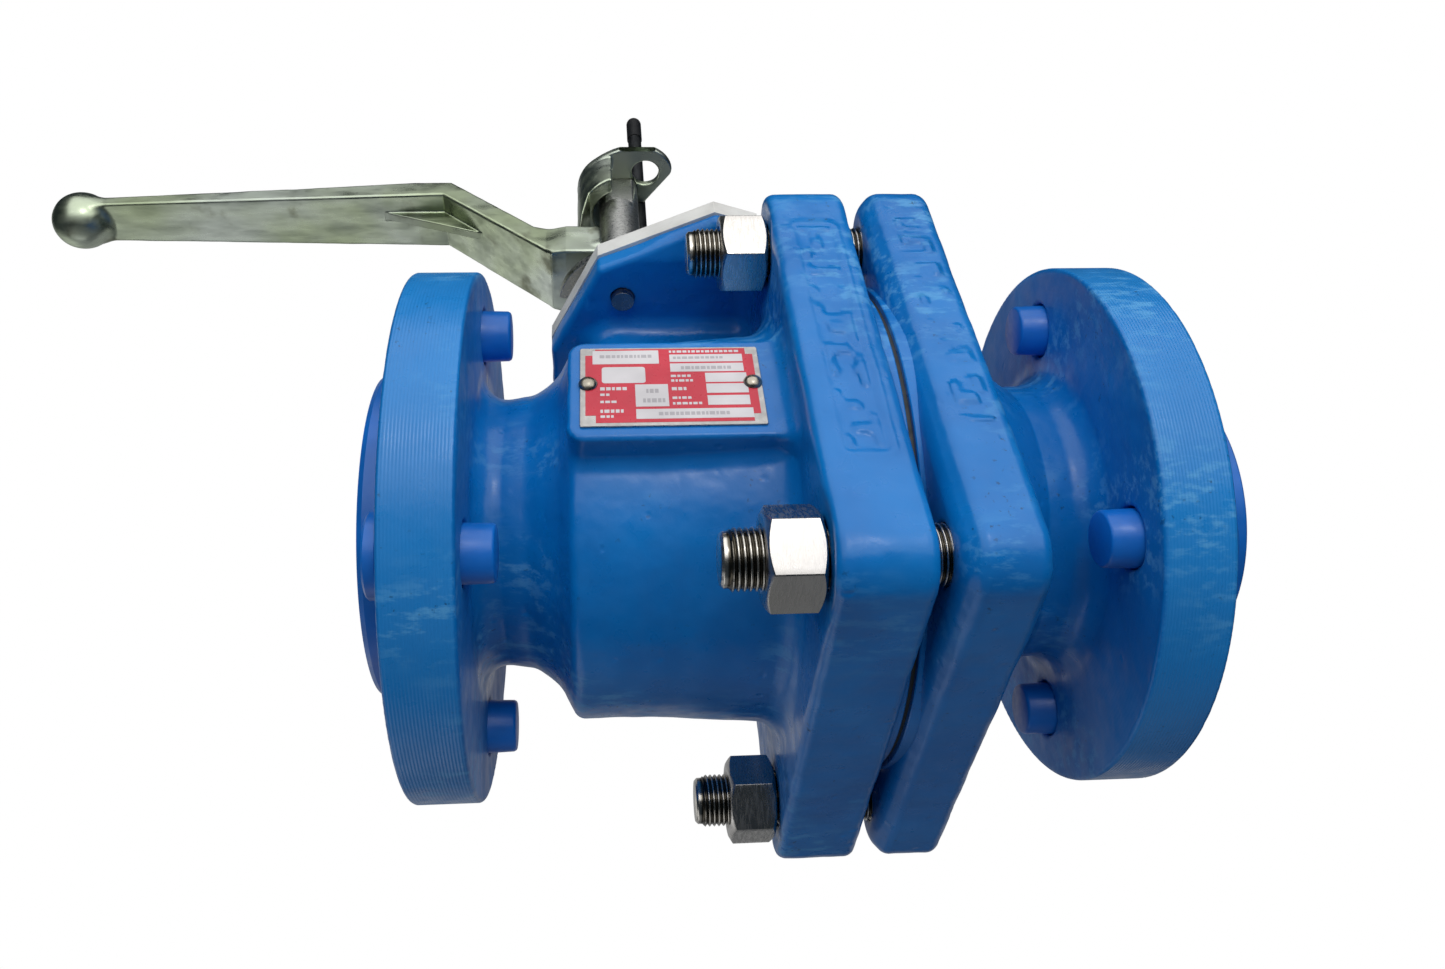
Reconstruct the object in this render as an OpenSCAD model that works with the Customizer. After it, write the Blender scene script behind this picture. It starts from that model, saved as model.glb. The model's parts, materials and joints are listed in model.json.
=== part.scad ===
// Lined two-piece flanged ball valve with a hand lever.
// Origin: centre of the ball. +X runs along the pipe from the short side to the
// long side, +Z runs up the stem, and the nameplate is on the -Y side.
// The lever points to -X while the valve is open.

/* [Pipe flanges] */
// Outer diameter of both pipe flanges
flange_d = 165; // [160:1:180]
// Thickness of the metal flange
flange_t = 20; // [18:1:22]
// Bolt circle of the pipe flanges
bolt_circle_d = 125; // [122:1:130]
// Diameter of the flange bolt holes
bolt_hole_d = 18; // [14:1:19]
// Distance from the left sealing face to the stem axis
short_side = 70; // [70:1:74]
// Distance between the two sealing faces
face_to_face = 230; // [226:1:236]

/* [Waterway] */
// Bore of the lined waterway
port_d = 50; // [46:1:50]
// Wall thickness of the fluoropolymer lining
lining_t = 4; // [4:0.5:4.5]
// Diameter of the lined sealing face on each flange
sealing_face_d = 102; // [96:1:104]

/* [Castings] */
// Outer diameter of the round body over the ball
barrel_d = 118; // [116:1:122]
// Outer diameter of the necks next to the pipe flanges
neck_d = 88; // [86:1:92]
// Side length of the square joint plates
joint_w = 160; // [158:1:164]
// Corner radius of the square joint plates
joint_corner_r = 13; // [10:1:16]
// Thickness of the joint plate on the body
body_plate_t = 25.5; // [25:0.5:26]
// Thickness of the joint plate on the cover
cover_plate_t = 22; // [21.5:0.5:22.5]
// Gap between the two joint plates
joint_gap = 5.5; // [5:0.5:6]

/* [Joint bolting] */
// Nominal diameter of the joint studs
stud_d = 16; // [14:1:16]
// Distance between neighbouring joint studs
stud_pitch = 125.6; // [124:0.4:127]
// Width across the flats of the joint nuts
nut_af = 24; // [22:1:24]
// Height of the joint nuts
nut_h = 14.8; // [14:0.2:15]

/* [Ball and stem] */
// Diameter of the stem
stem_d = 17; // [16:0.5:17]
// Height of the stem's end above the pipe axis
stem_top_z = 197.8; // [197:0.1:198]

/* [Lever] */
// Distance from the stem axis to the centre of the ball end
lever_reach = 224.5; // [200:0.5:240]
// Diameter of the ball end
lever_ball_d = 23.5; // [22:0.5:26]
// Diameter of the padlock eye
eye_d = 12; // [10:0.5:13]

/* [Hidden] */
$fn = 72;
fine_fn = 32;          // circles on small fasteners
eps = 0.02;            // overlap between shapes of one solid
fit = 0.1;             // gap between static round faces that touch
run = 0.05;            // radial clearance of running fits
free_gap = 0.4;        // clearance between parts that pass each other

// Diameter of the lined ball, set by the bore and the seats
ball_d = 80;

// Positions along the pipe
left_rim_x = -short_side + lining_t;
right_face_x = face_to_face - short_side;
right_rim_x = right_face_x - lining_t;
left_flange_x = left_rim_x + flange_t;   // inner face of the left pipe flange
right_flange_x = right_rim_x - flange_t; // inner face of the right pipe flange
joint_x = 70;                          // right face of the body's plate
body_plate_x = joint_x - body_plate_t;
cover_plate_x = joint_x + joint_gap;
cover_plate_end = cover_plate_x + cover_plate_t;

// Radii of the waterway and of the cavity round the ball
port_r = port_d / 2;
metal_port_r = port_r + lining_t;
ball_r = ball_d / 2;
cavity_r = ball_r + 3;
metal_cavity_r = cavity_r + lining_t;
seat_r = 34;
metal_seat_r = seat_r + lining_t;
seat_floor_x = 38;
seat_t = 14;
nose_x = 27;                           // end of the cover's lined nose
nose_floor_x = seat_floor_x + 8;
spigot_r = cavity_r - free_gap;
flare_r = 58;
flare_t = 2.5;
gasket_t = 1.5;
joint_ring_r = 77;
joint_ring_x = joint_x + flare_t + gasket_t;

// Castings
rim_round = 3;
neck_fillet = 10;
plate_fillet = 10;
fillet_lip = 1.5;
barrel_r = barrel_d / 2;
neck_r = neck_d / 2;
cone_x = [-28, -18];
cover_cone_r = 58;
cover_cone_end = 120;
cover_hole_extra = 0.4;                // the cover's flange holes are drilled this much wider

// Raised pads of the body
ear_z = 78;
ear_t = 8;
plate_t = 6.5;
top_z = ear_z + ear_t;
plate_top_z = top_z + plate_t;
ear_outline = [[-27, -8], [-9.5, -45], [30.5, -63], [46, -58],
               [46, 58], [30.5, 63], [-9.5, 45], [-27, 8]];
web_half = 21;                         // half width of the web under the pad
web_x = -14;
web_foot_z = 40;
boss_x = [-18.5, 47];
boss_z = [-22.5, 17];
boss_y = -65.2;
boss_round = 5;

// Stem stack, from the packing up to the lever
neck_bore_r = stem_d / 2 + free_gap + lining_t;
gland_r = 16;
packing_z = 60;
packing_ring_t = 4.6;
packing_count = 3;
packing_rise = 0.9;                    // height of the V on each packing ring
packing_gap = 0.1;                     // left free above each ring's V
packing_mid_r = (stem_d / 2 + gland_r) / 2;
follower_z = packing_z + packing_count * packing_ring_t;
follower_top_z = 97;
spring_h = 3;
spring_count = 2;
spring_dish = [0, 0.38, 0.58, 0.96];   // heights of a spring's section, as shares of spring_h
gland_nut_z = follower_top_z + spring_h * spring_count + fit;
gland_nut_af = 27;
gland_nut_h = 9;
stop_z = 114;
stop_t = 4;
stop_pin_r = 3;
stop_pin_at = 21;
stop_outer_r = 25;
stop_inner_r = 15;
turn = 90;                             // travel of the lever, open to closed
stop_half = asin((stop_pin_r + 0.3) / stop_pin_at);

// Ball and stem
slot_z = 33;
slot_w = 10.4;
tongue_w = 10;
tongue_l = 20;
stem_head_r = 12;
stem_head_z = [41.5, 47];
core_bite = 0.5;                       // the ball's lining reaches this far into its core's outline
stem_flats = 12.4;
flats_z = 176;

// Lever: side view (X, Z) and plan (X, half width) of the bar
hub_r = 18;
hub_bore_r = 11.5;
hub_plate_z = 194.2;
hub_plate_t = stem_top_z - hub_plate_z;
grip_end_x = -lever_reach + 6;
lever_ball_z = 173.2;
bar_side = [[grip_end_x, 171.1], [-74, 172], [-28, 129.3], [-22, 128.3],
            [-8, 128], [-8, 145], [-28, 145.7], [-35, 148], [-71, 181.4],
            [-85, 181.9], [-134, 179.6], [grip_end_x, 176.7]];
bar_plan = [[grip_end_x, 9.1], [-76, 13.3], [-30, 14.2], [-22, 16], [-8, 16]];
hub_side = [[-30, 132], [-8, 132], [-9.5, 141], [-13.5, 148.5], [-16.5, 157], [-15.5, 165],
            [-12.5, 174], [-4.7, 176.3],
            [-3, 176.3], [-3, hub_plate_z + 1], [-30, hub_plate_z + 1]];
eye_x = 11.8;
eye_y = -9.2;
eye_r = 11.4;
hub_cut_at = 13;                       // flat edge on the back of the hub plate
hub_cut_angle = 38;
rib_side = [[-99, 171.8], [-57, 156.4], [-57, 162], [-74, 176], [-99, 174]];
rib_w = 3.8;
rib_y = -2.6;
grip_cut_x = -100;                     // where the grip meets the cranked end
rod_r = 3.2;
rod_x = 9.2;
rod_y = 9;
rod_z = [166, 266];
rod_cap_r = 3.6;
rod_cap_l = 14;

// Fasteners
stud_at = stud_pitch / 2;
stud_x = [19.2, cover_plate_end - 3];
tapped_end = cover_plate_end - 2;
plate_screw_d = 8;
plate_screw_at = [[-1, 33], [33, 33]];
plate_screw_end_z = [75, 80];
cap_head_r = 6.5;
cap_head_h = 8;
cap_socket_af = 6;
nameplate_x = [-15, 36.5];
nameplate_z = [-18.8, 13.2];
nameplate_t = 0.8;
rivet_at = [[-12.7, -2], [33.9, -2]];
rivet_r = 2.7;
lever_screw_r = 4;
lever_screw_af = 13;
lever_screw_h = 5.3;
lever_screw_depth = 18;
lever_tap_depth = 22;
washer_r = 8.6;
washer_t = 1.6;

// ---------- helpers ----------

// Turns a profile of (radius, position along the pipe) round the pipe axis.
module turned_x() rotate([0, 90, 0]) rotate_extrude() intersection() {
    children();
    translate([0, -300]) square([200, 600]);
}

// Extrudes a (Y, Z) outline along +X, from x to x + len.
module along_x(x, len) translate([x, 0, 0]) rotate([90, 0, 90]) linear_extrude(len) children();

// Extrudes an (X, Z) outline along Y, symmetric about Y = 0.
module across_y(w) translate([0, w / 2, 0]) rotate([90, 0, 0]) linear_extrude(w) children();

// Rectangle from corner a to corner b with round corners.
module round_rect(a, b, r) {
    translate([a.x + r, a.y]) square([b.x - a.x - 2 * r, b.y - a.y]);
    translate([a.x, a.y + r]) square([b.x - a.x, b.y - a.y - 2 * r]);
    for (x = [a.x + r, b.x - r], y = [a.y + r, b.y - r]) translate([x, y]) circle(r);
}

// Profile rectangle from r0 to r1 and from x0 to x1.
module band(r0, r1, x0, x1) translate([r0, x0]) square([r1 - r0, x1 - x0]);

// Concave fillet between a shaft of radius r and a wall at x; side is +1 or -1.
// It stops short of the wall's tangent, so that it ends in a low lip, not a knife edge.
module root_fillet(r, x, size, side) difference() {
    band(r - 1, r + size - fillet_lip, min(x, x + side * size), max(x, x + side * size));
    translate([r + size, x + side * size]) circle(size);
}

// Pipe flange profile between x0 and x1, round at its rim.
module flange_profile(x0, x1) {
    band(0, flange_d / 2 - rim_round, x0, x1);
    band(0, flange_d / 2, x0 + rim_round, x1 - rim_round);
    for (x = [x0 + rim_round, x1 - rim_round]) translate([flange_d / 2 - rim_round, x]) circle(rim_round);
}

module flange_holes(x0, x1, d)
    for (a = [45:90:315]) along_x(x0 - 1, x1 - x0 + 2)
        translate([cos(a), sin(a)] * bolt_circle_d / 2) circle(d = d);

module joint_square() {
    h = joint_w / 2;
    round_rect([-h, -h], [h, h], joint_corner_r);
}

module at_studs() for (y = [-stud_at, stud_at], z = [-stud_at, stud_at]) translate([0, y, z]) children();

// Hex prism along +X, flat sides up and down.
module hex_x(af, x, len) along_x(x, len) circle(r = af / 2 / cos(30), $fn = 6);

module hex_z(af, z, len) translate([0, 0, z]) cylinder(h = len, r = af / 2 / cos(30), $fn = 6);

module post(r, z0, z1) translate([0, 0, z0]) cylinder(h = z1 - z0, r = r);

// Profile of the space inside the body; inset is the lining's thickness.
module body_space(inset) {
    band(0, metal_port_r - inset, left_rim_x - 20, 0);
    band(0, metal_seat_r - inset, -seat_floor_x - lining_t + inset, 0);
    intersection() {
        circle(metal_cavity_r - inset);
        band(0, 200, -200, eps);
    }
    band(0, metal_cavity_r - inset, 0, joint_x + 20);
}

// ---------- castings ----------

module body_shell_profile() {
    root_fillet(neck_r, left_flange_x, neck_fillet, 1);
    polygon([[0, left_flange_x], [neck_r, left_flange_x], [neck_r, cone_x[0]], [barrel_r, cone_x[1]],
             [barrel_r, body_plate_x], [0, body_plate_x]]);
    root_fillet(barrel_r, body_plate_x, plate_fillet, -1);
}

module ear_web() translate([web_x, -web_half, web_foot_z])
    cube([body_plate_x + 1 - web_x, 2 * web_half, ear_z + 1 - web_foot_z]);

module nameplate_boss() rotate([90, 0, 0]) translate([0, 0, 30]) linear_extrude(-boss_y - 30)
        round_rect([boss_x[0], boss_z[0]], [boss_x[1], boss_z[1]], boss_round);

// Casting round the ball, between its pipe flange and its joint plate.
module body() color([0.03, 0.27, 0.62]) difference() {
    union() {
        turned_x() body_shell_profile();
        translate([0, 0, ear_z]) linear_extrude(ear_t) polygon(ear_outline);
        ear_web();
        nameplate_boss();
    }
    translate([body_plate_x, -joint_w, -joint_w]) cube(2 * joint_w);
    turned_x() body_space(0);
    post(neck_bore_r, 30, packing_z + 1);
    post(gland_r, packing_z - 2, top_z + 1);
    plate_screw_holes(plate_screw_d / 2);
    for (p = rivet_at) translate([p[0], boss_y + 5, p[1]]) rotate([90, 0, 0])
        cylinder(h = 6, r = rivet_r / 2, $fn = fine_fn);
}

module body_flange() color([0.03, 0.27, 0.62]) difference() {
    turned_x() flange_profile(left_rim_x, left_flange_x);
    turned_x() band(0, metal_port_r, left_rim_x - 1, left_flange_x + 1);
    flange_holes(left_rim_x, left_flange_x, bolt_hole_d);
}

module body_plate() color([0.03, 0.27, 0.62]) difference() {
    union() {
        along_x(body_plate_x, body_plate_t) joint_square();
        turned_x() band(flare_r + fit, joint_ring_r - 0.5, joint_x - 1, joint_x + flare_t);
    }
    turned_x() body_space(0);
    at_studs() along_x(body_plate_x - 1, body_plate_t + 2) circle(d = stud_d + 2);
}

module cover_shell_profile() {
    polygon([[0, cover_plate_end], [cover_cone_r, cover_plate_end], [neck_r, cover_cone_end],
             [neck_r, right_flange_x], [0, right_flange_x]]);
    root_fillet(neck_r, right_flange_x, neck_fillet, -1);
}

// Neck of the cover, between its joint plate and its pipe flange.
module cover() color([0.03, 0.27, 0.62]) turned_x() difference() {
    cover_shell_profile();
    band(0, metal_port_r, cover_plate_end - 1, right_flange_x + 1);
}

module cover_flange() color([0.03, 0.27, 0.62]) difference() {
    turned_x() flange_profile(right_flange_x, right_rim_x);
    turned_x() band(0, metal_port_r, right_flange_x - 1, right_rim_x + 1);
    flange_holes(right_flange_x, right_rim_x, bolt_hole_d + cover_hole_extra);
}

// Joint plate of the cover, with the ring on the gasket and the spigot inside the body.
module cover_plate() color([0.03, 0.27, 0.62]) difference() {
    union() {
        turned_x() {
            band(0, joint_ring_r, joint_ring_x, cover_plate_x + 1);
            band(0, spigot_r, nose_floor_x, joint_ring_x + 1);
        }
        along_x(cover_plate_x, cover_plate_t) joint_square();
    }
    turned_x() band(0, metal_port_r, nose_floor_x - 1, cover_plate_end + 1);
    at_studs() along_x(cover_plate_x - 1, tapped_end - cover_plate_x + 1) circle(r = stud_d / 2 + fit);
}

// ---------- lining, seats and gasket ----------

module body_liner() color([0.93, 0.93, 0.90]) difference() {
    union() {
        turned_x() difference() {
            union() {
                intersection() {
                    body_space(fit);
                    band(0, 100, left_rim_x - 1, joint_x + flare_t);
                }
                band(0, sealing_face_d / 2, -short_side, left_rim_x);
                band(0, flare_r, joint_x, joint_x + flare_t);
            }
            body_space(lining_t);
        }
        difference() {
            post(neck_bore_r - fit, 30, packing_z - 2);
            sphere(cavity_r + 1);
        }
    }
    post(stem_d / 2 + free_gap, 20, packing_z + 1);
    post(stem_head_r + free_gap, 20, stem_head_z[1] + 1);
}

module cover_liner() color([0.93, 0.93, 0.90]) turned_x() difference() {
    union() {
        band(0, metal_port_r - fit, nose_floor_x - 1, right_rim_x + 1);
        band(0, sealing_face_d / 2, right_rim_x, right_face_x);
        band(0, spigot_r, nose_x, nose_floor_x);
    }
    band(0, port_r, nose_x - 1, right_face_x + 1);
    band(0, seat_r, nose_x - 1, seat_floor_x);
}

module joint_gasket() color([0.20, 0.20, 0.21]) turned_x()
    band(cavity_r, joint_ring_r - 2, joint_x + flare_t, joint_ring_x);

// Seat ring on the left; side = -1 mirrors it to the right.
module seat_ring(side) color([0.90, 0.90, 0.86]) turned_x() difference() {
    band(port_r + 1, seat_r - fit, min(-side * seat_floor_x, -side * (seat_floor_x - seat_t)),
         max(-side * seat_floor_x, -side * (seat_floor_x - seat_t)));
    circle(ball_r + 0.3);
}

module seat_ring_left() seat_ring(1);

module seat_ring_right() seat_ring(-1);

// ---------- ball, stem and stem seal ----------

module ball_slot() translate([-slot_w / 2, -ball_r, slot_z]) cube([slot_w, ball_d, ball_r]);

module ball_core() color([0.60, 0.61, 0.62]) difference() {
    sphere(ball_r - lining_t + core_bite - fit);
    along_x(-ball_r, ball_d) circle(metal_port_r - core_bite + fit);
    ball_slot();
}

module ball_lining() color([0.95, 0.95, 0.93]) difference() {
    sphere(ball_r);
    difference() {
        sphere(ball_r - lining_t + core_bite);
        along_x(-ball_r, ball_d) circle(metal_port_r - core_bite);
    }
    along_x(-ball_r, ball_d) circle(port_r);
    ball_slot();
}

module stem() color([0.62, 0.62, 0.63]) difference() {
    union() {
        translate([-tongue_w / 2, -tongue_l / 2, slot_z + 0.3]) cube([tongue_w, tongue_l, 10]);
        post(stem_head_r, stem_head_z[0], stem_head_z[1]);
        post(stem_d / 2, stem_head_z[1] - 1, flats_z);
        intersection() {
            post(stem_d / 2, flats_z - 1, stem_top_z);
            translate([-stem_d, -stem_flats / 2, flats_z - 1]) cube([2 * stem_d, stem_flats, 40]);
        }
    }
    post(lever_screw_r, stem_top_z - lever_tap_depth, stem_top_z + 1);
}

module thrust_washer() color([0.35, 0.35, 0.36]) difference() {
    post(gland_r - fit, packing_z - 2, packing_z - fit);
    post(stem_d / 2 + run, 50, packing_z + 1);
}

module packing_rings() color([0.88, 0.87, 0.82]) for (i = [0:packing_count - 1])
    translate([0, 0, packing_z + i * packing_ring_t]) rotate_extrude()
        polygon([[stem_d / 2 + run, 0], [packing_mid_r, packing_rise], [gland_r - fit, 0],
                 [gland_r - fit, packing_ring_t - 1], [packing_mid_r, packing_ring_t - packing_gap],
                 [stem_d / 2 + run, packing_ring_t - 1]]);

module gland_ring() color([0.66, 0.66, 0.67]) difference() {
    union() {
        post(gland_r - 2 * fit, follower_z, follower_top_z - 1);
        post(gland_r - 1, follower_top_z - 2, follower_top_z);
    }
    post(stem_d / 2 + run, follower_z - 1, follower_top_z + 1);
}

module disc_springs() color([0.30, 0.30, 0.31]) for (i = [0:spring_count - 1])
    translate([0, 0, follower_top_z + fit + i * spring_h * (1 + spring_dish[3])])
        mirror([0, 0, i]) rotate_extrude()
            polygon([[stem_d / 2 + run, spring_h * spring_dish[2]], [stem_d / 2 + run, spring_h * spring_dish[3]],
                     [gland_r - 1, spring_h * spring_dish[1]], [gland_r - 1, spring_dish[0]]]);

module gland_nut() color([0.70, 0.70, 0.71]) difference() {
    hex_z(gland_nut_af, gland_nut_z, gland_nut_h);
    post(stem_d / 2 + run, gland_nut_z - 1, gland_nut_z + gland_nut_h + 1);
}

// ---------- top plate and travel stop ----------

module plate_screw_holes(r) for (i = [0, 1], s = [-1, 1])
    translate([plate_screw_at[i].x, s * plate_screw_at[i].y, plate_screw_end_z[i] - (i == 0 ? 20 : 1)])
        cylinder(h = 40, r = r + fit, $fn = fine_fn);

module top_plate() color([0.66, 0.66, 0.64]) difference() {
    translate([0, 0, top_z]) linear_extrude(plate_t) polygon(ear_outline);
    post(gland_r + fit, top_z - 1, plate_top_z + 1);
    plate_screw_holes(plate_screw_d / 2);
    translate([0, stop_pin_at, 0]) post(stop_pin_r + fit, top_z - 1, plate_top_z + 1);
}

module top_plate_screws() color([0.22, 0.22, 0.23]) for (i = [0, 1], s = [-1, 1])
    translate([plate_screw_at[i].x, s * plate_screw_at[i].y, 0]) difference() {
        union() {
            translate([0, 0, plate_screw_end_z[i]])
                cylinder(h = plate_top_z - plate_screw_end_z[i] + 1, d = plate_screw_d, $fn = fine_fn);
            translate([0, 0, plate_top_z]) cylinder(h = cap_head_h, r = cap_head_r, $fn = 48);
        }
        hex_z(cap_socket_af, plate_top_z + cap_head_h / 2, cap_head_h);
    }

// The cut-out lets the disc turn from the pin's one side to its other side.
module stop_plate() color([0.62, 0.62, 0.60]) difference() {
    post(stop_outer_r, stop_z, stop_z + stop_t);
    post(stem_d / 2 + run, stop_z - 1, stop_z + stop_t + 1);
    difference() {
        translate([0, 0, stop_z - 1]) linear_extrude(stop_t + 2) polygon(concat([[0, 0]],
            [for (a = [-stop_half:(turn + 2 * stop_half) / 8:turn + stop_half + 0.01])
                60 * [cos(90 + a), sin(90 + a)]]));
        post(stop_inner_r, stop_z - 2, stop_z + stop_t + 2);
    }
}

module stop_pin() color([0.45, 0.45, 0.46]) translate([0, stop_pin_at, 0]) {
    post(stop_pin_r, top_z, stop_z + stop_t + 2);
    translate([0, 0, stop_z + stop_t + 2]) cylinder(h = 1, r1 = stop_pin_r, r2 = stop_pin_r - 1);
}

// ---------- lever ----------

module bar_plan_shape() polygon(concat(bar_plan, [for (i = [len(bar_plan) - 1:-1:0])
    [bar_plan[i].x, -bar_plan[i].y]]));

module lever_bar() intersection() {
    across_y(60) polygon(bar_side);
    linear_extrude(stem_top_z) bar_plan_shape();
}

module hub_wall() intersection() {
    post(hub_r, 125, hub_plate_z + 2);
    across_y(60) polygon(hub_side);
}

module hub_plate() translate([0, 0, hub_plate_z]) linear_extrude(hub_plate_t) difference() {
    intersection() {
        union() {
            circle(hub_r);
            translate([eye_x, eye_y]) circle(eye_r);
        }
        rotate(hub_cut_angle) translate([hub_cut_at - 60, -40]) square([60, 80]);
    }
    translate([eye_x, eye_y]) circle(d = eye_d);
    translate([rod_x, rod_y]) circle(rod_r + fit);
    intersection() {
        circle(stem_d / 2 + fit);
        square([2 * stem_d, stem_flats + 2 * fit], center = true);
    }
}

// Cranked inner end of the lever, with its rib and the hub on the stem.
module lever() color([0.66, 0.67, 0.63]) {
    difference() {
        union() {
            lever_bar();
            hub_wall();
        }
        post(hub_bore_r, 120, hub_plate_z + 2);
        translate([grip_cut_x - 300, -50, 100]) cube([300, 100, 150]);
    }
    translate([0, rib_y, 0]) across_y(rib_w) polygon(rib_side);
    hub_plate();
}

// Straight outer end of the lever, with its ball.
module lever_grip() color([0.66, 0.67, 0.63]) {
    translate([-lever_reach, 0, lever_ball_z]) sphere(d = lever_ball_d);
    difference() {
        lever_bar();
        translate([grip_cut_x, -50, 100]) cube([300, 100, 150]);
    }
}

module lever_washer() color([0.70, 0.70, 0.70]) difference() {
    post(washer_r, stem_top_z, stem_top_z + washer_t);
    post(lever_screw_r + 0.2, stem_top_z - 1, stem_top_z + washer_t + 1);
}

module lever_screw() color([0.70, 0.70, 0.70]) {
    post(lever_screw_r - fit, stem_top_z - lever_screw_depth, stem_top_z + washer_t + 1);
    hex_z(lever_screw_af, stem_top_z + washer_t, lever_screw_h);
}

module lock_rod() color([0.22, 0.21, 0.22]) translate([rod_x, rod_y, 0])
    post(rod_r, rod_z[0], rod_z[1] - rod_cap_l / 2);

module lock_rod_cap() color([0.06, 0.06, 0.07]) translate([rod_x, rod_y, 0]) difference() {
    union() {
        post(rod_cap_r, rod_z[1] - rod_cap_l, rod_z[1]);
        translate([0, 0, rod_z[1]]) sphere(rod_cap_r);
    }
    post(rod_r + eps, rod_z[1] - rod_cap_l - 1, rod_z[1] - rod_cap_l / 2 + fit);
}

// ---------- fasteners and nameplate ----------

module body_studs() color([0.50, 0.49, 0.46]) at_studs()
    along_x(stud_x[0], stud_x[1] - stud_x[0]) circle(d = stud_d);

module body_nuts() color([0.62, 0.61, 0.59]) at_studs() difference() {
    hex_x(nut_af, body_plate_x - nut_h, nut_h);
    along_x(body_plate_x - nut_h - 1, nut_h + 2) circle(r = stud_d / 2 + eps);
}

module nameplate() color([0.75, 0.15, 0.20]) translate([0, boss_y, 0]) rotate([90, 0, 0])
    linear_extrude(nameplate_t) difference() {
        translate([nameplate_x[0], nameplate_z[0]])
            square([nameplate_x[1] - nameplate_x[0], nameplate_z[1] - nameplate_z[0]]);
        for (p = rivet_at) translate(p) circle(r = rivet_r / 2, $fn = fine_fn);
    }

module nameplate_rivets() color([0.70, 0.70, 0.70]) for (p = rivet_at)
    translate([p[0], boss_y, p[1]]) rotate([90, 0, 0]) {
        translate([0, 0, -4]) cylinder(h = 4 + nameplate_t, r = rivet_r / 2 - eps, $fn = fine_fn);
        translate([0, 0, nameplate_t]) intersection() {
            sphere(rivet_r, $fn = fine_fn);
            cylinder(h = rivet_r, r = rivet_r + 1, $fn = fine_fn);
        }
    }

body();
body_flange();
body_plate();
body_liner();
cover();
cover_flange();
cover_plate();
cover_liner();
joint_gasket();
seat_ring_left();
seat_ring_right();
ball_core();
ball_lining();
stem();
thrust_washer();
packing_rings();
gland_ring();
disc_springs();
gland_nut();
top_plate();
top_plate_screws();
stop_plate();
stop_pin();
lever();
lever_grip();
lever_washer();
lever_screw();
lock_rod();
lock_rod_cap();
body_studs();
body_nuts();
nameplate();
nameplate_rivets();
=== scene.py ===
"""Looks of a lined, flanged two-piece ball valve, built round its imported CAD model.

Lengths in this file are in millimetres, in the CAD frame, until `new_mesh` scales them to metres;
lights, floor and camera are in metres. The origin is at the centre of the ball, +X runs along the
pipe, +Z up the stem, and the nameplate is on the -Y side. The castings and the lever are meshed
from distance fields, so that every edge and root is rounded as on the real castings.
"""
import json
import math

import bmesh
import bpy
import numpy as np
from mathutils import Matrix, Vector

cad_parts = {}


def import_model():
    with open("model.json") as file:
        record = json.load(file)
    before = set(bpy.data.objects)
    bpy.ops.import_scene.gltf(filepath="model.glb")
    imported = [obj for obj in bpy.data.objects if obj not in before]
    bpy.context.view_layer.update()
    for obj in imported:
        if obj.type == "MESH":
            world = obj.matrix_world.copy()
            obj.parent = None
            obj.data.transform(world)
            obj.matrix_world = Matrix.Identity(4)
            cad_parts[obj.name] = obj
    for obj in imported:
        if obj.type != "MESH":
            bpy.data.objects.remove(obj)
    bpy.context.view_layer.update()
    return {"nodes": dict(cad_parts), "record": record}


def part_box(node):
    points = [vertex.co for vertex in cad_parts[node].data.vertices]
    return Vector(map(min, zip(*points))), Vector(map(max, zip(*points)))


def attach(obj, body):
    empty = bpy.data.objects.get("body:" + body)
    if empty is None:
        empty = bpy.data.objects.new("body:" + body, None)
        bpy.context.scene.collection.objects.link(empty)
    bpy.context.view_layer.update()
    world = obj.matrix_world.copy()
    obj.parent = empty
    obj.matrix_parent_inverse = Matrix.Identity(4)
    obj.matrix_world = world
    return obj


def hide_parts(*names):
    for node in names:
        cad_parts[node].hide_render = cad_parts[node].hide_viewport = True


MM = 0.001

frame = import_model()

scene = bpy.context.scene


def box(node):
    """Corners of a CAD node in millimetres, as two arrays."""
    lo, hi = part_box(node)
    return np.array(lo) / MM, np.array(hi) / MM


# ---------- sizes, from the frame ----------

(LF0, _, _), (LF1, _, RIM_R) = box("body_flange")        # left pipe flange, along X
(RF0, _, _), (RF1, _, _) = box("cover_flange")           # right pipe flange
(BP0, _, _), (BODY_RING_X, JOINT_HALF, _) = box("body_plate")   # joint plate and ring of the body
CP1 = box("cover_plate")[1][0]                           # end of the cover's joint plate
COVER_RING_X = box("joint_gasket")[1][0]
BP1 = COVER_RING_X - 4.0                                # right face of the body's plate
CP0 = BP1 + 5.5                                         # left face of the cover's plate
COVER_CHAMFER = (4.5, 5.0)                              # along X, and in from the side
JOINT_RING_R = 77.0
(STUD_X0, _, _), (STUD_X1, STUD_Y1, _) = box("body_studs")
STUD_R = 8.0
STUD_AT = STUD_Y1 - STUD_R
NUT_X0, NUT_X1 = box("body_nuts")[0][0], box("body_nuts")[1][0]
NUT_AF = 24.0
EAR_Z1 = box("top_plate")[0][2]
EAR_Z0 = EAR_Z1 - 8.0
NAME_LO, NAME_HI = box("nameplate")
BOSS_Y = NAME_HI[1]
GRIP_X0 = box("lever_grip")[0][0]
STEM_TOP = box("stem")[1][2]
BOLT_R, BOLT_PCD_R = 9.0, 62.5
NECK_R, BARREL_R, CONE_R = 44.0, 59.0, 61.0
PORT_METAL_R = 29.0
CAVITY_R, SEAT_POCKET_R = 47.0, 38.0
NOSE_X, NOSE_R = 46.0, 42.6                             # lined nose of the cover, inside the body
STUD_HOLE_R, STUD_TAP_R, NUT_ROOM_R = 9.0, 8.1, 18.0
STEM_BORE_R, GLAND_R = 12.9, 16.0
SCREW_HOLE_R = 4.1
CORNER_R = 13.0
BOLT_AT = [(s * BOLT_PCD_R / math.sqrt(2), t * BOLT_PCD_R / math.sqrt(2))
           for s in (-1, 1) for t in (-1, 1)]
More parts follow.
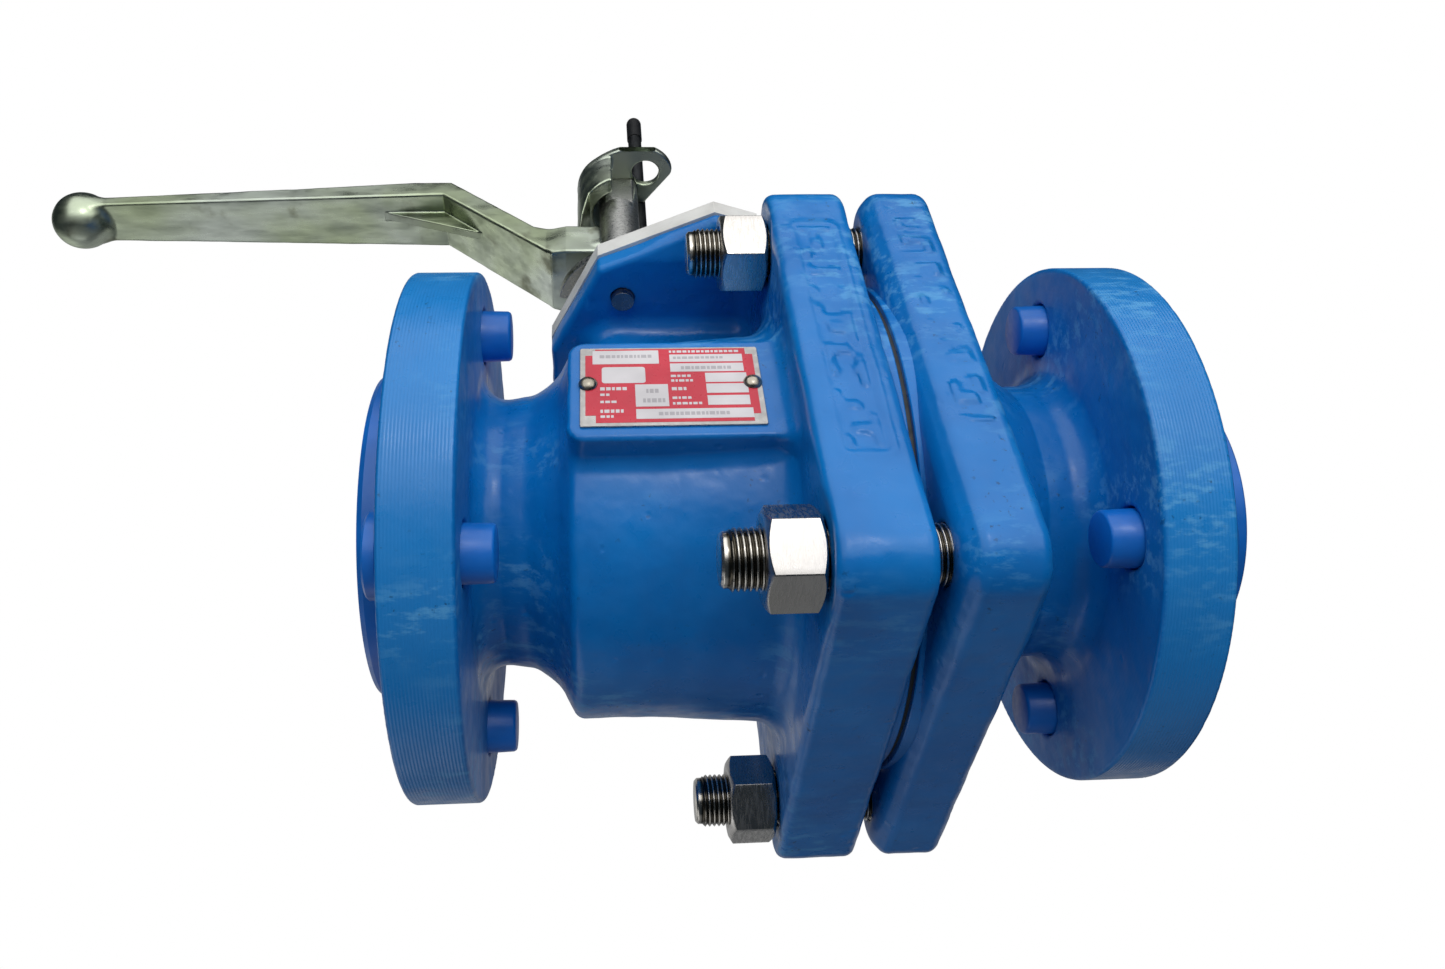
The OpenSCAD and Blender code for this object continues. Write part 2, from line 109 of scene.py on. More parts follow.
STUDS_AT = [(s * STUD_AT, t * STUD_AT) for s in (-1, 1) for t in (-1, 1)]
WEB_HALF, WEB_X = 19.0, -13.0
EAR_OUTLINE = [(-27, -8), (-9.5, -45), (30.5, -63), (46, -58), (46, 58), (30.5, 63), (-9.5, 45), (-27, 8)]


# ---------- distance fields ----------

def f32(*values):
    return [np.asarray(v, np.float32) for v in values]


def union(a, b, r=0.0):
    """Union with a round fillet of radius r in the corner."""
    if r <= 0:
        return np.minimum(a, b)
    return np.maximum(r, np.minimum(a, b)) - np.hypot(np.maximum(r - a, 0), np.maximum(r - b, 0))


def common(a, b, r=0.0):
    """Intersection with its outer edge rounded to radius r."""
    if r <= 0:
        return np.maximum(a, b)
    return np.minimum(-r, np.maximum(a, b)) + np.hypot(np.maximum(r + a, 0), np.maximum(r + b, 0))


def cut(a, b, r=0.0):
    return common(a, -b, r)


def slab(v, lo, hi):
    return np.abs(v - (lo + hi) / 2) - (hi - lo) / 2


def disc_x(x, rho, x0, x1, radius, r):
    """Cylinder round the pipe axis with edges rounded to r."""
    return common(rho - radius, slab(x, x0, x1), r)


def round_square(y, z, half, r):
    qy, qz = np.abs(y) - (half - r), np.abs(z) - (half - r)
    return np.hypot(np.maximum(qy, 0), np.maximum(qz, 0)) + np.minimum(np.maximum(qy, qz), 0) - r


def round_box2(u, v, lo, hi, r):
    qu, qv = slab(u, lo[0], hi[0]) + r, slab(v, lo[1], hi[1]) + r
    return np.hypot(np.maximum(qu, 0), np.maximum(qv, 0)) + np.minimum(np.maximum(qu, qv), 0) - r


def polygon(u, v, points, r=0.0):
    """Signed distance to a polygon whose outer corners are rounded to r."""
    pts = np.array(points, float)
    if r:
        pts = inset(pts, r)
    d2 = np.full(np.shape(u), 1e12, np.float32)
    inside = np.ones(np.shape(u), bool)
    inside[...] = False
    for (ax, ay), (bx, by) in zip(pts, np.roll(pts, -1, 0)):
        ex, ey = bx - ax, by - ay
        wx, wy = u - ax, v - ay
        t = np.clip((wx * ex + wy * ey) / (ex * ex + ey * ey), 0, 1)
        d2 = np.minimum(d2, (wx - t * ex) ** 2 + (wy - t * ey) ** 2)
        crosses = (ay > v) != (by > v)
        if ey:
            inside ^= crosses & (u < ex * (v - ay) / ey + ax)
    d = np.sqrt(d2)
    return np.where(inside, -d, d) - r


def inset(pts, r):
    """Polygon moved in by r on every side. The points may run either way round."""
    area = sum(a[0] * b[1] - a[1] * b[0] for a, b in zip(pts, np.roll(pts, -1, 0)))
    if area < 0:
        pts = pts[::-1]
    out = []
    for before, here, after in zip(np.roll(pts, 1, 0), pts, np.roll(pts, -1, 0)):
        d0, d1 = here - before, after - here
        d0, d1 = d0 / np.linalg.norm(d0), d1 / np.linalg.norm(d1)
        n0, n1 = np.array([-d0[1], d0[0]]), np.array([-d1[1], d1[0]])
        m = n0 + n1
        out.append(here + m * r / (1 + n0 @ n1))
    return np.array(out)


def noise(p, size, seed):
    """Smooth value noise from -1 to 1, with bumps about `size` across."""
    q = p / size + 1000.0
    i = np.floor(q).astype(np.int64)
    f = q - i
    f = f * f * f * (f * (f * 6 - 15) + 10)
    total = np.zeros(len(p))
    for dx in (0, 1):
        for dy in (0, 1):
            for dz in (0, 1):
                h = ((i[:, 0] + dx) * 73856093) ^ ((i[:, 1] + dy) * 19349663)
                h = h ^ ((i[:, 2] + dz) * 83492791) ^ (seed * 2654435761)
                h = (h ^ (h >> 13)) * 1274126177 & 0x7FFFFFFF
                h = (h ^ (h >> 16)) & 0xFFFF
                w = ((f[:, 0] if dx else 1 - f[:, 0]) * (f[:, 1] if dy else 1 - f[:, 1])
                     * (f[:, 2] if dz else 1 - f[:, 2]))
                total += w * (h / 32767.5 - 1)
    return total


def step(v, lo, hi):
    t = np.clip((v - lo) / (hi - lo), 0, 1)
    return t * t * (3 - 2 * t)


# ---------- meshing ----------

BLOCK = 8


def evaluate(field, p, chunk=400000):
    if not len(p):
        return np.zeros(0)
    return np.concatenate([field(*f32(*p[i:i + chunk].T)) for i in range(0, len(p), chunk)])


def mesh_field(field, lo, hi, cell, relief=None, rounds=3):
    """Meshes a distance field by surface nets and moves each point onto the surface.
    Returns points, quads and normals. relief(points) is a height added along the normal."""
    lo, hi = np.array(lo, float) - 2.5 * cell, np.array(hi, float) + 2.5 * cell
    blocks = np.ceil((hi - lo) / cell / BLOCK).astype(int)
    n = blocks * BLOCK
    bi = np.stack(np.meshgrid(*[np.arange(b) for b in blocks], indexing="ij"), -1).reshape(-1, 3)
    centre = lo + (bi * BLOCK + (BLOCK - 1) / 2) * cell
    coarse = evaluate(field, centre)
    grid = coarse.reshape(blocks).astype(np.float32)
    for axis in range(3):
        grid = np.repeat(grid, BLOCK, axis)
    reach = cell * (BLOCK / 2 + 1) * math.sqrt(3) * 1.25
    live = bi[np.abs(coarse) < reach]
    sub = np.stack(np.meshgrid(*[np.arange(BLOCK)] * 3, indexing="ij"), -1).reshape(-1, 3)
    for k in range(0, len(live), 800):
        idx = (live[k:k + 800, None, :] * BLOCK + sub[None]).reshape(-1, 3)
        grid[idx[:, 0], idx[:, 1], idx[:, 2]] = evaluate(field, lo + idx * cell)
    neg = grid < 0
    count = np.zeros(n - 1, np.int8)
    corners = [(a, b, c) for a in (0, 1) for b in (0, 1) for c in (0, 1)]
    for a, b, c in corners:
        count += neg[a:n[0] - 1 + a, b:n[1] - 1 + b, c:n[2] - 1 + c]
    cells = np.argwhere((count > 0) & (count < 8))
    ids = np.full(n - 1, -1, np.int32)
    ids[cells[:, 0], cells[:, 1], cells[:, 2]] = np.arange(len(cells))
    values = np.stack([grid[cells[:, 0] + a, cells[:, 1] + b, cells[:, 2] + c] for a, b, c in corners], 1)
    total, hits = np.zeros((len(cells), 3)), np.zeros(len(cells))
    for i, ci in enumerate(corners):
        for j, cj in enumerate(corners):
            if j > i and sum(abs(x - y) for x, y in zip(ci, cj)) == 1:
                a, b = values[:, i], values[:, j]
                m = (a < 0) != (b < 0)
                t = np.where(m, a / np.where(m, a - b, 1), 0)
                total[m] += (np.array(ci) + t[m, None] * (np.array(cj) - np.array(ci)))
                hits += m
    points = lo + (cells + total / hits[:, None]) * cell
    quads = []
    for axis in range(3):
        u, w = (axis + 1) % 3, (axis + 2) % 3
        a = [slice(None)] * 3
        b = [slice(None)] * 3
        a[axis], b[axis] = slice(0, -1), slice(1, None)
        first, second = neg[tuple(a)], neg[tuple(b)]
        e = np.argwhere(first != second)
        e = e[(e[:, u] > 0) & (e[:, w] > 0) & (e[:, u] < n[u] - 1) & (e[:, w] < n[w] - 1)]
        du, dw = np.zeros(3, int), np.zeros(3, int)
        du[u], dw[w] = 1, 1
        q = np.stack([ids[tuple((e - s * du - t * dw).T)] for s, t in ((1, 1), (0, 1), (0, 0), (1, 0))], 1)
        flip = ~first[tuple(e.T)]
        q[flip] = q[flip][:, ::-1]
        quads.append(q)
    quads = np.concatenate(quads)

    def value(p):
        d = evaluate(field, p)
        return d - relief(p) if relief else d

    def slope(p, h=0.05):
        g = np.zeros_like(p)
        for k in ((1, 1, 1), (1, -1, -1), (-1, 1, -1), (-1, -1, 1)):
            g += np.array(k) * value(p + np.array(k) * h)[:, None]
        return g / (4 * h)

    for _ in range(rounds):
        g = slope(points)
        length = np.maximum((g * g).sum(1), 0.2)
        move = -(value(points) / length)[:, None] * g
        size = np.linalg.norm(move, axis=1, keepdims=True)
        points += move * np.minimum(1, 0.6 * cell / np.maximum(size, 1e-9))
    normals = slope(points, 0.12)
    normals /= np.maximum(np.linalg.norm(normals, axis=1, keepdims=True), 1e-9)
    return points, quads, normals


def new_mesh(name, points, faces):
    mesh = bpy.data.meshes.new(name)
    points = np.asarray(points, float) * MM
    if isinstance(faces, np.ndarray):
        k = faces.shape[1]
        mesh.vertices.add(len(points))
        mesh.vertices.foreach_set("co", points.astype(np.float32).ravel())
        mesh.loops.add(faces.size)
        mesh.loops.foreach_set("vertex_index", faces.astype(np.int32).ravel())
        mesh.polygons.add(len(faces))
        mesh.polygons.foreach_set("loop_start", np.arange(0, faces.size, k, dtype=np.int32))
        mesh.update(calc_edges=True)
    else:
        mesh.from_pydata([tuple(p) for p in points], [], faces)
        mesh.update()
    mesh.validate()
    return mesh


def add(name, mesh, body, material, replaces=()):
    """Makes an object of a mesh, gives it its material and ties it to the frame."""
    obj = bpy.data.objects.new(name, mesh)
    scene.collection.objects.link(obj)
    for m in material if isinstance(material, (list, tuple)) else [material]:
        mesh.materials.append(m)
    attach(obj, body)
    if replaces:
        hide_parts(*replaces)
    return obj


def field_object(name, field, lo, hi, cell, body, material, replaces, relief=None, marks=None):
    """Object meshed from a distance field. Each of marks gives a 0..1 value, kept as an attribute."""
    points, quads, normals = mesh_field(field, lo, hi, cell, relief)
    mesh = new_mesh(name, points, quads)
    mesh.polygons.foreach_set("use_smooth", np.ones(len(mesh.polygons), bool))
    for key, mark in (marks or {}).items():
        layer = mesh.attributes.new(key, "FLOAT", "POINT")
        layer.data.foreach_set("value", mark(points).astype(np.float32))
    mesh.normals_split_custom_set_from_vertices([tuple(v) for v in normals])
    return add(name, mesh, body, material, replaces)


def lathe(profile, axis="z", centre=(0, 0, 0), segments=96):
    """Points and faces of a profile of (radius, height) pairs turned round an axis.
    The profile runs from the bottom of the axis to its top; radius 0 closes an end."""
    rings, points, faces = [], [], []
    for radius, h in profile:
        if radius <= 1e-9:
            rings.append([len(points)])
            points.append((0, 0, h))
        else:
            rings.append(list(range(len(points), len(points) + segments)))
            points += [(radius * math.cos(2 * math.pi * k / segments),
                        radius * math.sin(2 * math.pi * k / segments), h) for k in range(segments)]
    for a, b in zip(rings, rings[1:]):
        for k in range(segments):
            m = (k + 1) % segments
            if len(a) == 1:
                faces.append([a[0], b[m], b[k]])
            elif len(b) == 1:
                faces.append([a[k], a[m], b[0]])
            else:
                faces.append([a[k], a[m], b[m], b[k]])
    pts = np.array(points)
    if axis == "x":
        pts = pts[:, [2, 0, 1]]
    elif axis == "-y":
        pts = np.stack([pts[:, 0], -pts[:, 2], pts[:, 1]], 1)
    return pts + np.array(centre), faces


def join(parts):
    points, faces, n = [], [], 0
    for p, f in parts:
        points.append(p)
        faces += [[i + n for i in q] for q in f]
        n += len(p)
    return np.concatenate(points), faces


def smooth(mesh, angle=30):
    """Smooth shading, with edges sharper than angle kept sharp."""
    bm = bmesh.new()
    bm.from_mesh(mesh)
    limit = math.radians(angle)
    for f in bm.faces:
        f.smooth = True
    for e in bm.edges:
        if len(e.link_faces) == 2 and e.calc_face_angle(0) > limit:
            e.smooth = False
    bm.to_mesh(mesh)
    bm.free()
    return mesh


def bevel_mesh(mesh, width, segments=2, angle=28):
    """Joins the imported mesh's triangles into clean faces and rounds its sharp edges."""
    bm = bmesh.new()
    bm.from_mesh(mesh)
    bmesh.ops.remove_doubles(bm, verts=bm.verts, dist=2e-6)
    bmesh.ops.dissolve_limit(bm, angle_limit=math.radians(0.8), verts=bm.verts, edges=bm.edges,
                             delimit={"NORMAL"})
    limit = math.radians(angle)
    edges = [e for e in bm.edges if len(e.link_faces) == 2 and e.calc_face_angle(0) > limit]
    bmesh.ops.bevel(bm, geom=edges, offset=width * MM, segments=segments, profile=0.6, affect="EDGES",
                    clamp_overlap=True)
    for f in bm.faces:
        f.smooth = True
    for e in bm.edges:
        e.smooth = not (len(e.link_faces) == 2 and e.calc_face_angle(0) > math.radians(40))
    bm.to_mesh(mesh)
    bm.free()
    return mesh


def refine(node, name, body, material, width, segments=2):
    """New piece with the CAD node's shape and rounded edges, in place of the node."""
    source = frame["nodes"][node]
    mesh = source.data.copy()
    mesh.name = name
    mesh.materials.clear()
    bevel_mesh(mesh, width, segments)
    obj = add(name, mesh, body, material, (node,))
    weighted = obj.modifiers.new("even normals", "WEIGHTED_NORMAL")
    weighted.keep_sharp = True
    return obj


# ---------- materials ----------

def srgb(r, g, b):
    def one(c):
        c /= 255
        return c / 12.92 if c <= 0.04045 else ((c + 0.055) / 1.055) ** 2.4
    return (one(r), one(g), one(b), 1)


class Shader:
    """A Principled material with short ways to add noise, mixes and bumps."""

    def __init__(self, name, color, rough, metallic=0.0, **sockets):
        self.material = bpy.data.materials.new(name)
        self.material.use_nodes = True
        self.nodes, self.links = self.material.node_tree.nodes, self.material.node_tree.links
        self.bsdf = self.nodes["Principled BSDF"]
        self.set("Base Color", color)
        self.set("Roughness", rough)
        self.set("Metallic", metallic)
        for key, value in sockets.items():
            self.set(key.replace("_", " ").title(), value)
        self.coords = self.nodes.new("ShaderNodeTexCoord").outputs["Object"]
        self.height = None

    def set(self, socket, value):
        names = {"Ior": "IOR", "Specular Ior Level": "Specular IOR Level", "Coat Ior": "Coat IOR"}
        self.bsdf.inputs[names.get(socket, socket)].default_value = value
        self.material.diffuse_color = tuple(self.bsdf.inputs["Base Color"].default_value)

    def link(self, a, b):
        self.links.new(a, b)

    def noise(self, scale, detail=3.0, rough=0.5, stretch=(1, 1, 1), distortion=0.0):
        vector = self.coords
        if stretch != (1, 1, 1):
            m = self.nodes.new("ShaderNodeMapping")
            m.inputs["Scale"].default_value = stretch
            self.link(vector, m.inputs["Vector"])
            vector = m.outputs[0]
        n = self.nodes.new("ShaderNodeTexNoise")
        n.inputs["Scale"].default_value = scale
        n.inputs["Detail"].default_value = detail
        n.inputs["Roughness"].default_value = rough
        n.inputs["Distortion"].default_value = distortion
        self.link(vector, n.inputs["Vector"])
        return n.outputs["Fac"]

    def ramp(self, value, lo, hi, a=0.0, b=1.0):
        m = self.nodes.new("ShaderNodeMapRange")
        m.interpolation_type = "SMOOTHSTEP"
        for key, v in (("From Min", lo), ("From Max", hi), ("To Min", a), ("To Max", b)):
            m.inputs[key].default_value = v
        self.link(value, m.inputs["Value"])
        return m.outputs["Result"]

    def math(self, op, a, b):
        m = self.nodes.new("ShaderNodeMath")
        m.operation = op
        for i, v in enumerate((a, b)):
            if isinstance(v, (int, float)):
                m.inputs[i].default_value = v
            else:
                self.link(v, m.inputs[i])
        return m.outputs[0]

    def mix(self, factor, a, b):
        m = self.nodes.new("ShaderNodeMix")
        m.data_type = "RGBA"
        for key, v in (("Factor", factor), ("A", a), ("B", b)):
            socket = [s for s in m.inputs if s.name == key and s.enabled][0]
            if isinstance(v, (int, float, tuple)):
                socket.default_value = v
            else:
                self.link(v, socket)
        return [s for s in m.outputs if s.enabled][0]

    def attribute(self, name):
        a = self.nodes.new("ShaderNodeAttribute")
        a.attribute_name = name
        return a.outputs["Fac"]

    def axis(self, k):
        s = self.nodes.new("ShaderNodeSeparateXYZ")
        self.link(self.coords, s.inputs[0])
        return s.outputs[k]

    def color(self, value):
        self.link(value, self.bsdf.inputs["Base Color"])

    def rough(self, value):
        self.link(value, self.bsdf.inputs["Roughness"])

    def bump(self, value, height_mm, strength=1.0):
        b = self.nodes.new("ShaderNodeBump")
        b.inputs["Strength"].default_value = strength
        b.inputs["Distance"].default_value = height_mm * MM
        self.link(value, b.inputs["Height"])
        if self.height:
            self.link(self.height, b.inputs["Normal"])
        self.height = b.outputs[0]
        self.link(self.height, self.bsdf.inputs["Normal"])
        if "Coat Normal" in self.bsdf.inputs:
            self.link(self.height, self.bsdf.inputs["Coat Normal"])
        return self


def blue_paint():
    s = Shader("cast_blue_paint", srgb(4, 112, 188), 0.36, coat_weight=0.18, coat_roughness=0.2)
    s.set("Specular Ior Level", 0.34)
    base = s.mix(s.ramp(s.noise(26, 4), 0.35, 0.7), srgb(1, 104, 178), srgb(4, 118, 194))
    machined, faced = s.attribute("machined"), s.attribute("faced")
    base = s.mix(s.math("MULTIPLY", machined, 0.45), base, srgb(46, 140, 208))
    streaks = s.ramp(s.noise(260, 4, 0.7, (0.35, 1, 1)), 0.48, 0.64)
    dust = s.math("MULTIPLY", s.ramp(s.noise(17, 3), 0.46, 0.66), streaks)
    base = s.mix(s.math("MULTIPLY", dust, 0.5), base, srgb(104, 174, 218))
    specks = s.ramp(s.noise(540, 2, 0.6), 0.64, 0.72)
    patches = s.ramp(s.noise(38, 3), 0.5, 0.66)
    dirt = s.math("MULTIPLY", specks, patches)
    base = s.mix(s.math("MULTIPLY", dirt, 0.65), base, srgb(12, 44, 66))
    s.color(base)
    gloss = s.ramp(s.noise(140, 3), 0.3, 0.75, 0.26, 0.44)
    gloss = s.math("ADD", gloss, s.math("MULTIPLY", faced, 0.2))
    s.rough(s.math("ADD", gloss, s.math("MULTIPLY", dust, 0.2)))
    s.bump(s.noise(210, 3, 0.55), 0.12, 0.7)
    s.bump(s.noise(900, 2, 0.5), 0.02, 0.6)
    for kind, mask, height in (("BANDS", machined, 0.07), ("RINGS", faced, 0.012)):
        groove = s.nodes.new("ShaderNodeTexWave")
        groove.wave_type = kind
        if kind == "BANDS":
            groove.bands_direction = "X"
        else:
            groove.rings_direction = "X"
        groove.inputs["Scale"].default_value = 340 if kind == "BANDS" else 230
        groove.inputs["Distortion"].default_value = 0.6 if kind == "BANDS" else 3.0
        groove.inputs["Detail"].default_value = 2
        s.link(s.coords, groove.inputs["Vector"])
        s.bump(s.math("MULTIPLY", groove.outputs["Fac"], mask), height, 0.9)
    return s.material


def steel(name, color, rough, grain=(1, 1, 1), tint=None, scale=500, bump=0.015, metallic=1.0):
    s = Shader(name, color, rough, metallic)
    n = s.noise(scale, 3, 0.55, grain)
    dark = tuple(c * 0.72 for c in color[:3]) + (1,)
    col = s.mix(s.ramp(s.noise(60, 4), 0.35, 0.72), color, tint or dark)
    s.color(col)
    s.rough(s.ramp(n, 0.3, 0.75, rough * 0.75, min(1, rough * 1.5)))
    s.bump(n, bump, 0.6)
    return s.material


def threaded_steel_painted_light():
    """Thread crests and chamfered ends coloured near white as a painted highlight, over roots coloured dark
    brown-grey as painted shade.
    """
    s = Shader("stud_steel", srgb(200, 196, 188), 0.22, 1.0)
    # painted shade: the thread roots get a dark brown-grey, its tone changing at random
    dark = s.mix(s.ramp(s.noise(90, 3), 0.35, 0.7), srgb(74, 70, 62), srgb(104, 98, 86))
    # painted highlight: near white on the crests and the chamfered ends, where the mesh attribute is 1
    s.color(s.mix(s.attribute("painted_highlight"), dark, srgb(214, 210, 202)))
    n = s.noise(500, 3)
    s.rough(s.ramp(n, 0.3, 0.75, 0.18, 0.34))
    s.bump(n, 0.015, 0.6)
    return s.material


def zinc():
    """Bright zinc with a faint yellow and green passivation film."""
    s = Shader("zinc_lever", srgb(168, 172, 158), 0.34, 1.0)
    col = s.mix(s.ramp(s.noise(22, 3), 0.35, 0.7), srgb(188, 196, 186), srgb(172, 184, 152))
    col = s.mix(s.ramp(s.noise(48, 4, 0.6), 0.56, 0.74), col, srgb(128, 132, 112))
    s.color(col)
    n = s.noise(170, 4, 0.6, (0.25, 1, 1))
    s.rough(s.ramp(n, 0.3, 0.75, 0.24, 0.5))
    s.bump(n, 0.05, 0.6)
    return s.material


def plastic(name, color, rough, bump=0.02, scale=400):
    s = Shader(name, color, rough)
    lighter = tuple(min(1, c * 1.25) for c in color[:3]) + (1,)
    s.color(s.mix(s.ramp(s.noise(45, 3), 0.35, 0.7), color, lighter))
    n = s.noise(scale, 3)
    s.rough(s.ramp(n, 0.3, 0.7, rough * 0.85, min(1, rough * 1.2)))
    s.bump(n, bump, 0.5)
    return s.material


M = {
    "cast_blue": blue_paint(),
    "lining": plastic("lining", srgb(236, 236, 228), 0.42),
    "gasket_dark": plastic("gasket", srgb(48, 50, 52), 0.6),
    "seat_white": plastic("seat", srgb(228, 226, 214), 0.5),
    "core_steel": steel("core_steel", srgb(168, 170, 172), 0.35),
    "stem_steel": steel("stem_steel", srgb(206, 206, 203), 0.3, (1, 1, 12), srgb(186, 186, 183), 500, 0.004),
    "spring_steel": steel("spring_steel", srgb(92, 90, 92), 0.35),
    "zinc_steel": steel("zinc_steel", srgb(200, 200, 196), 0.3, (1, 1, 1), srgb(176, 176, 172), 500, 0.004),
    "plate_steel": steel("plate_steel", srgb(226, 223, 217), 0.6, (1, 1, 6), srgb(200, 196, 190), 300, 0.04,
                         0.15),
    "black_steel": steel("black_steel", srgb(70, 72, 74), 0.42),
    "zinc_lever": zinc(),
    "stud_steel": threaded_steel_painted_light(),
    "screw_steel": steel("screw_steel", srgb(128, 132, 136), 0.3),
    "nut_steel": steel("nut_steel", srgb(196, 193, 190), 0.26, (6, 1, 1), srgb(196, 192, 186), 260, 0.02),
    "black_plastic": plastic("black_plastic", srgb(22, 22, 24), 0.4),
    "cap_plastic": plastic("cap_plastic", srgb(4, 98, 182), 0.36, 0.015),
    "plate_red": plastic("plate_red", srgb(186, 30, 52), 0.32, 0.004, 900),
    "plate_white": plastic("plate_white", srgb(196, 190, 190), 0.36, 0.004, 900),
    "plate_ink": plastic("plate_ink", srgb(162, 156, 158), 0.4, 0.002, 900),
    "plate_silver": steel("plate_silver", srgb(178, 176, 174), 0.34, (1, 1, 1), srgb(164, 162, 160), 500,
                          0.004),
    "rivet_steel": steel("rivet_steel", srgb(190, 184, 170), 0.28, (1, 1, 1), srgb(140, 134, 120)),
}


# ---------- body casting ----------

def body_field(x, y, z):
    rho = np.hypot(y, z)
    barrel = polygon(rho, x, [(-60, -25), (NECK_R, -25), (BARREL_R, -17.5), (BARREL_R + 0.5, 12),
                              (BARREL_R + 3, BP0 + 2), (BARREL_R + 3, BP1 - 4), (-60, BP1 - 4)], 4)
    neck = polygon(rho, x, [(-60, LF0 + 5), (NECK_R - 1.8, LF0 + 5), (NECK_R - 1.8, -38),
                            (NECK_R + 1, -20), (-60, -20)])
    d = union(barrel, neck, 7)
    # the ear under the top plate, and the web that carries it
    ear = common(polygon(x, y, EAR_OUTLINE, 3), slab(z, EAR_Z0 - 0.5, EAR_Z1), 2.2)
    ear = common(ear, x - BP0 - 4)
    web = common(common(np.abs(y) - WEB_HALF, WEB_X - x, 9), slab(z, 20, EAR_Z0 + 3))
    web = common(web, x - BP1 + 6)
    d = union(d, web, 9)
    d = union(d, ear, 6)
    # nameplate boss
    boss = common(round_box2(x, z, (-18.5, -22.5), (BP1 - 4, 17), 5), slab(y, BOSS_Y, -20), 1.6)
    d = union(d, boss, 3.2)
    # joint plate
    plate = common(round_square(y, z, JOINT_HALF, CORNER_R), slab(x, BP0, BP1), 3.4)
    d = union(d, plate, 7)
    # room for the nuts
    for sy, sz in STUDS_AT:
        gap = np.hypot(y - sy, z - sz) - NUT_ROOM_R
        gap = common(gap, slab(x, -12, BP0), 6)
        d = cut(d, gap, 3)
    flange = disc_x(x, rho, LF0, LF1, RIM_R, 1.2)
    d = union(d, flange, 7)
    # waterway, cavity, bolt holes, studs and the stem's bore
    bore = rho - PORT_METAL_R
    seat = common(rho - SEAT_POCKET_R, slab(x, -42, 10))
    cavity = common(np.sqrt(x * x + rho * rho) - CAVITY_R, x - 1)
    cavity = np.minimum(np.minimum(cavity, common(rho - CAVITY_R, -x)), seat)
    d = cut(d, np.minimum(cavity, common(bore, x)), 0.6)
    for sy, sz in BOLT_AT:
        hole = common(np.hypot(y - sy, z - sz) - BOLT_R, slab(x, LF0 - 5, LF1 + 6))
        d = cut(d, hole, 0.7)
    for sy, sz in STUDS_AT:
        d = cut(d, common(np.hypot(y - sy, z - sz) - STUD_HOLE_R, slab(x, BP0 - 6, BP1 + 6)), 0.7)
    stem = np.minimum(common(np.hypot(x, y) - STEM_BORE_R, slab(z, 20, 65)),
                      common(np.hypot(x, y) - GLAND_R, slab(z, 58, 100)))
    d = cut(d, stem, 0.4)
    for sx, sy, z0 in ((-1, 33, 55), (33, 33, 79)):
        d = cut(d, common(np.hypot(x - sx, np.abs(y) - sy) - SCREW_HOLE_R, slab(z, z0, 100)), 0.4)
    return d


def rough_mask(p):
    """1 on cast skin, 0 on turned rims and faces."""
    rho = np.hypot(p[:, 1], p[:, 2])
    rim = step(rho, RIM_R - 2.6, RIM_R - 0.4) * ((p[:, 0] < LF1 + 0.5) | (p[:, 0] > RF0 - 0.5))
    ends = np.maximum(step(-p[:, 0], -LF0 - 1.6, -LF0 - 0.3), step(p[:, 0], RF1 - 1.6, RF1 - 0.3))
    joint = step(-np.abs(p[:, 0] - (BP1 + CP0) / 2), -(CP0 - BP1) / 2 - 0.3, -(CP0 - BP1) / 2 + 0.1)
    ear = step(p[:, 2], EAR_Z1 - 0.6, EAR_Z1 - 0.1)
    inner = 1 - step(rho, 34, 42)
    return (1 - rim) * (1 - ends) * (1 - joint) * (1 - ear) * (1 - inner)


def panel(p, x0, x1, z0, z1, seed, size, height):
    """Shallow cast panel with worn lumps on the front edge of a joint plate."""
    d = round_box2(p[:, 0], p[:, 2], (x0, z0), (x1, z1), 3)
    on = step(-p[:, 1], JOINT_HALF - 1.6, JOINT_HALF - 0.5)
    ridge = np.exp(-(d / 1.9) ** 2) * 0.32
    ridge = ridge + np.exp(-((p[:, 0] - x1) / 1.6) ** 2) * step(-d, -2.0, 0.0) * 0.3
    floor = -0.3 * step(-d, 0.0, 2.6)
    lumps = step(noise(p, size, seed), -0.1, 0.75) * height * step(-d, 1.2, 3.2)
    return on * (ridge + floor + lumps)


def lumps(p, x0, x1, z0, z1, seed):
    """Column of worn raised lumps on the front edge of a joint plate."""
    d = round_box2(p[:, 0], p[:, 2], (x0, z0), (x1, z1), 3)
    on = step(-p[:, 1], JOINT_HALF - 1.6, JOINT_HALF - 0.5) * step(-d, 0.0, 1.5)
    rows = 0.5 + 0.5 * np.cos((p[:, 2] - z0) * 2 * math.pi / 13.0 + noise(p, 9, seed + 7))
    return on * step(noise(p, 4.2, seed), -0.35, 0.5) * step(rows, 0.15, 0.6) * 1.0


def cast_relief(seed):
    def relief(p):
        skin = rough_mask(p)
        h = 0.30 * noise(p, 17, seed) + 0.13 * noise(p, 6.5, seed + 1) + 0.04 * noise(p, 2.6, seed + 2)
        pits = -0.12 * step(noise(p, 3.2, seed + 3), 0.8, 0.95)
        return skin * (h + pits)
    return relief


def body_relief(p):
    r = cast_relief(11)(p)
    quiet = step(-p[:, 1], -BOSS_Y - 1.2, -BOSS_Y - 0.4) * step(-np.abs(p[:, 0] - 14), -34, -31)
    quiet = quiet * (np.abs(p[:, 2]) < 24) * (p[:, 0] < BP0 - 2)
    r = r * (1 - quiet)
    return r + panel(p, BP0 + 6, BP1 - 5.5, -44, 55, 21, 4.4, 1.0) * rough_mask(p)


def machined(p):
    rho = np.hypot(p[:, 1], p[:, 2])
    rim = step(rho, RIM_R - 2.4, RIM_R - 0.8)
    on = ((p[:, 0] > LF0 + 0.6) & (p[:, 0] < LF1 - 0.6)) | ((p[:, 0] > RF0 + 0.6) & (p[:, 0] < RF1 - 0.6))
    return rim * on


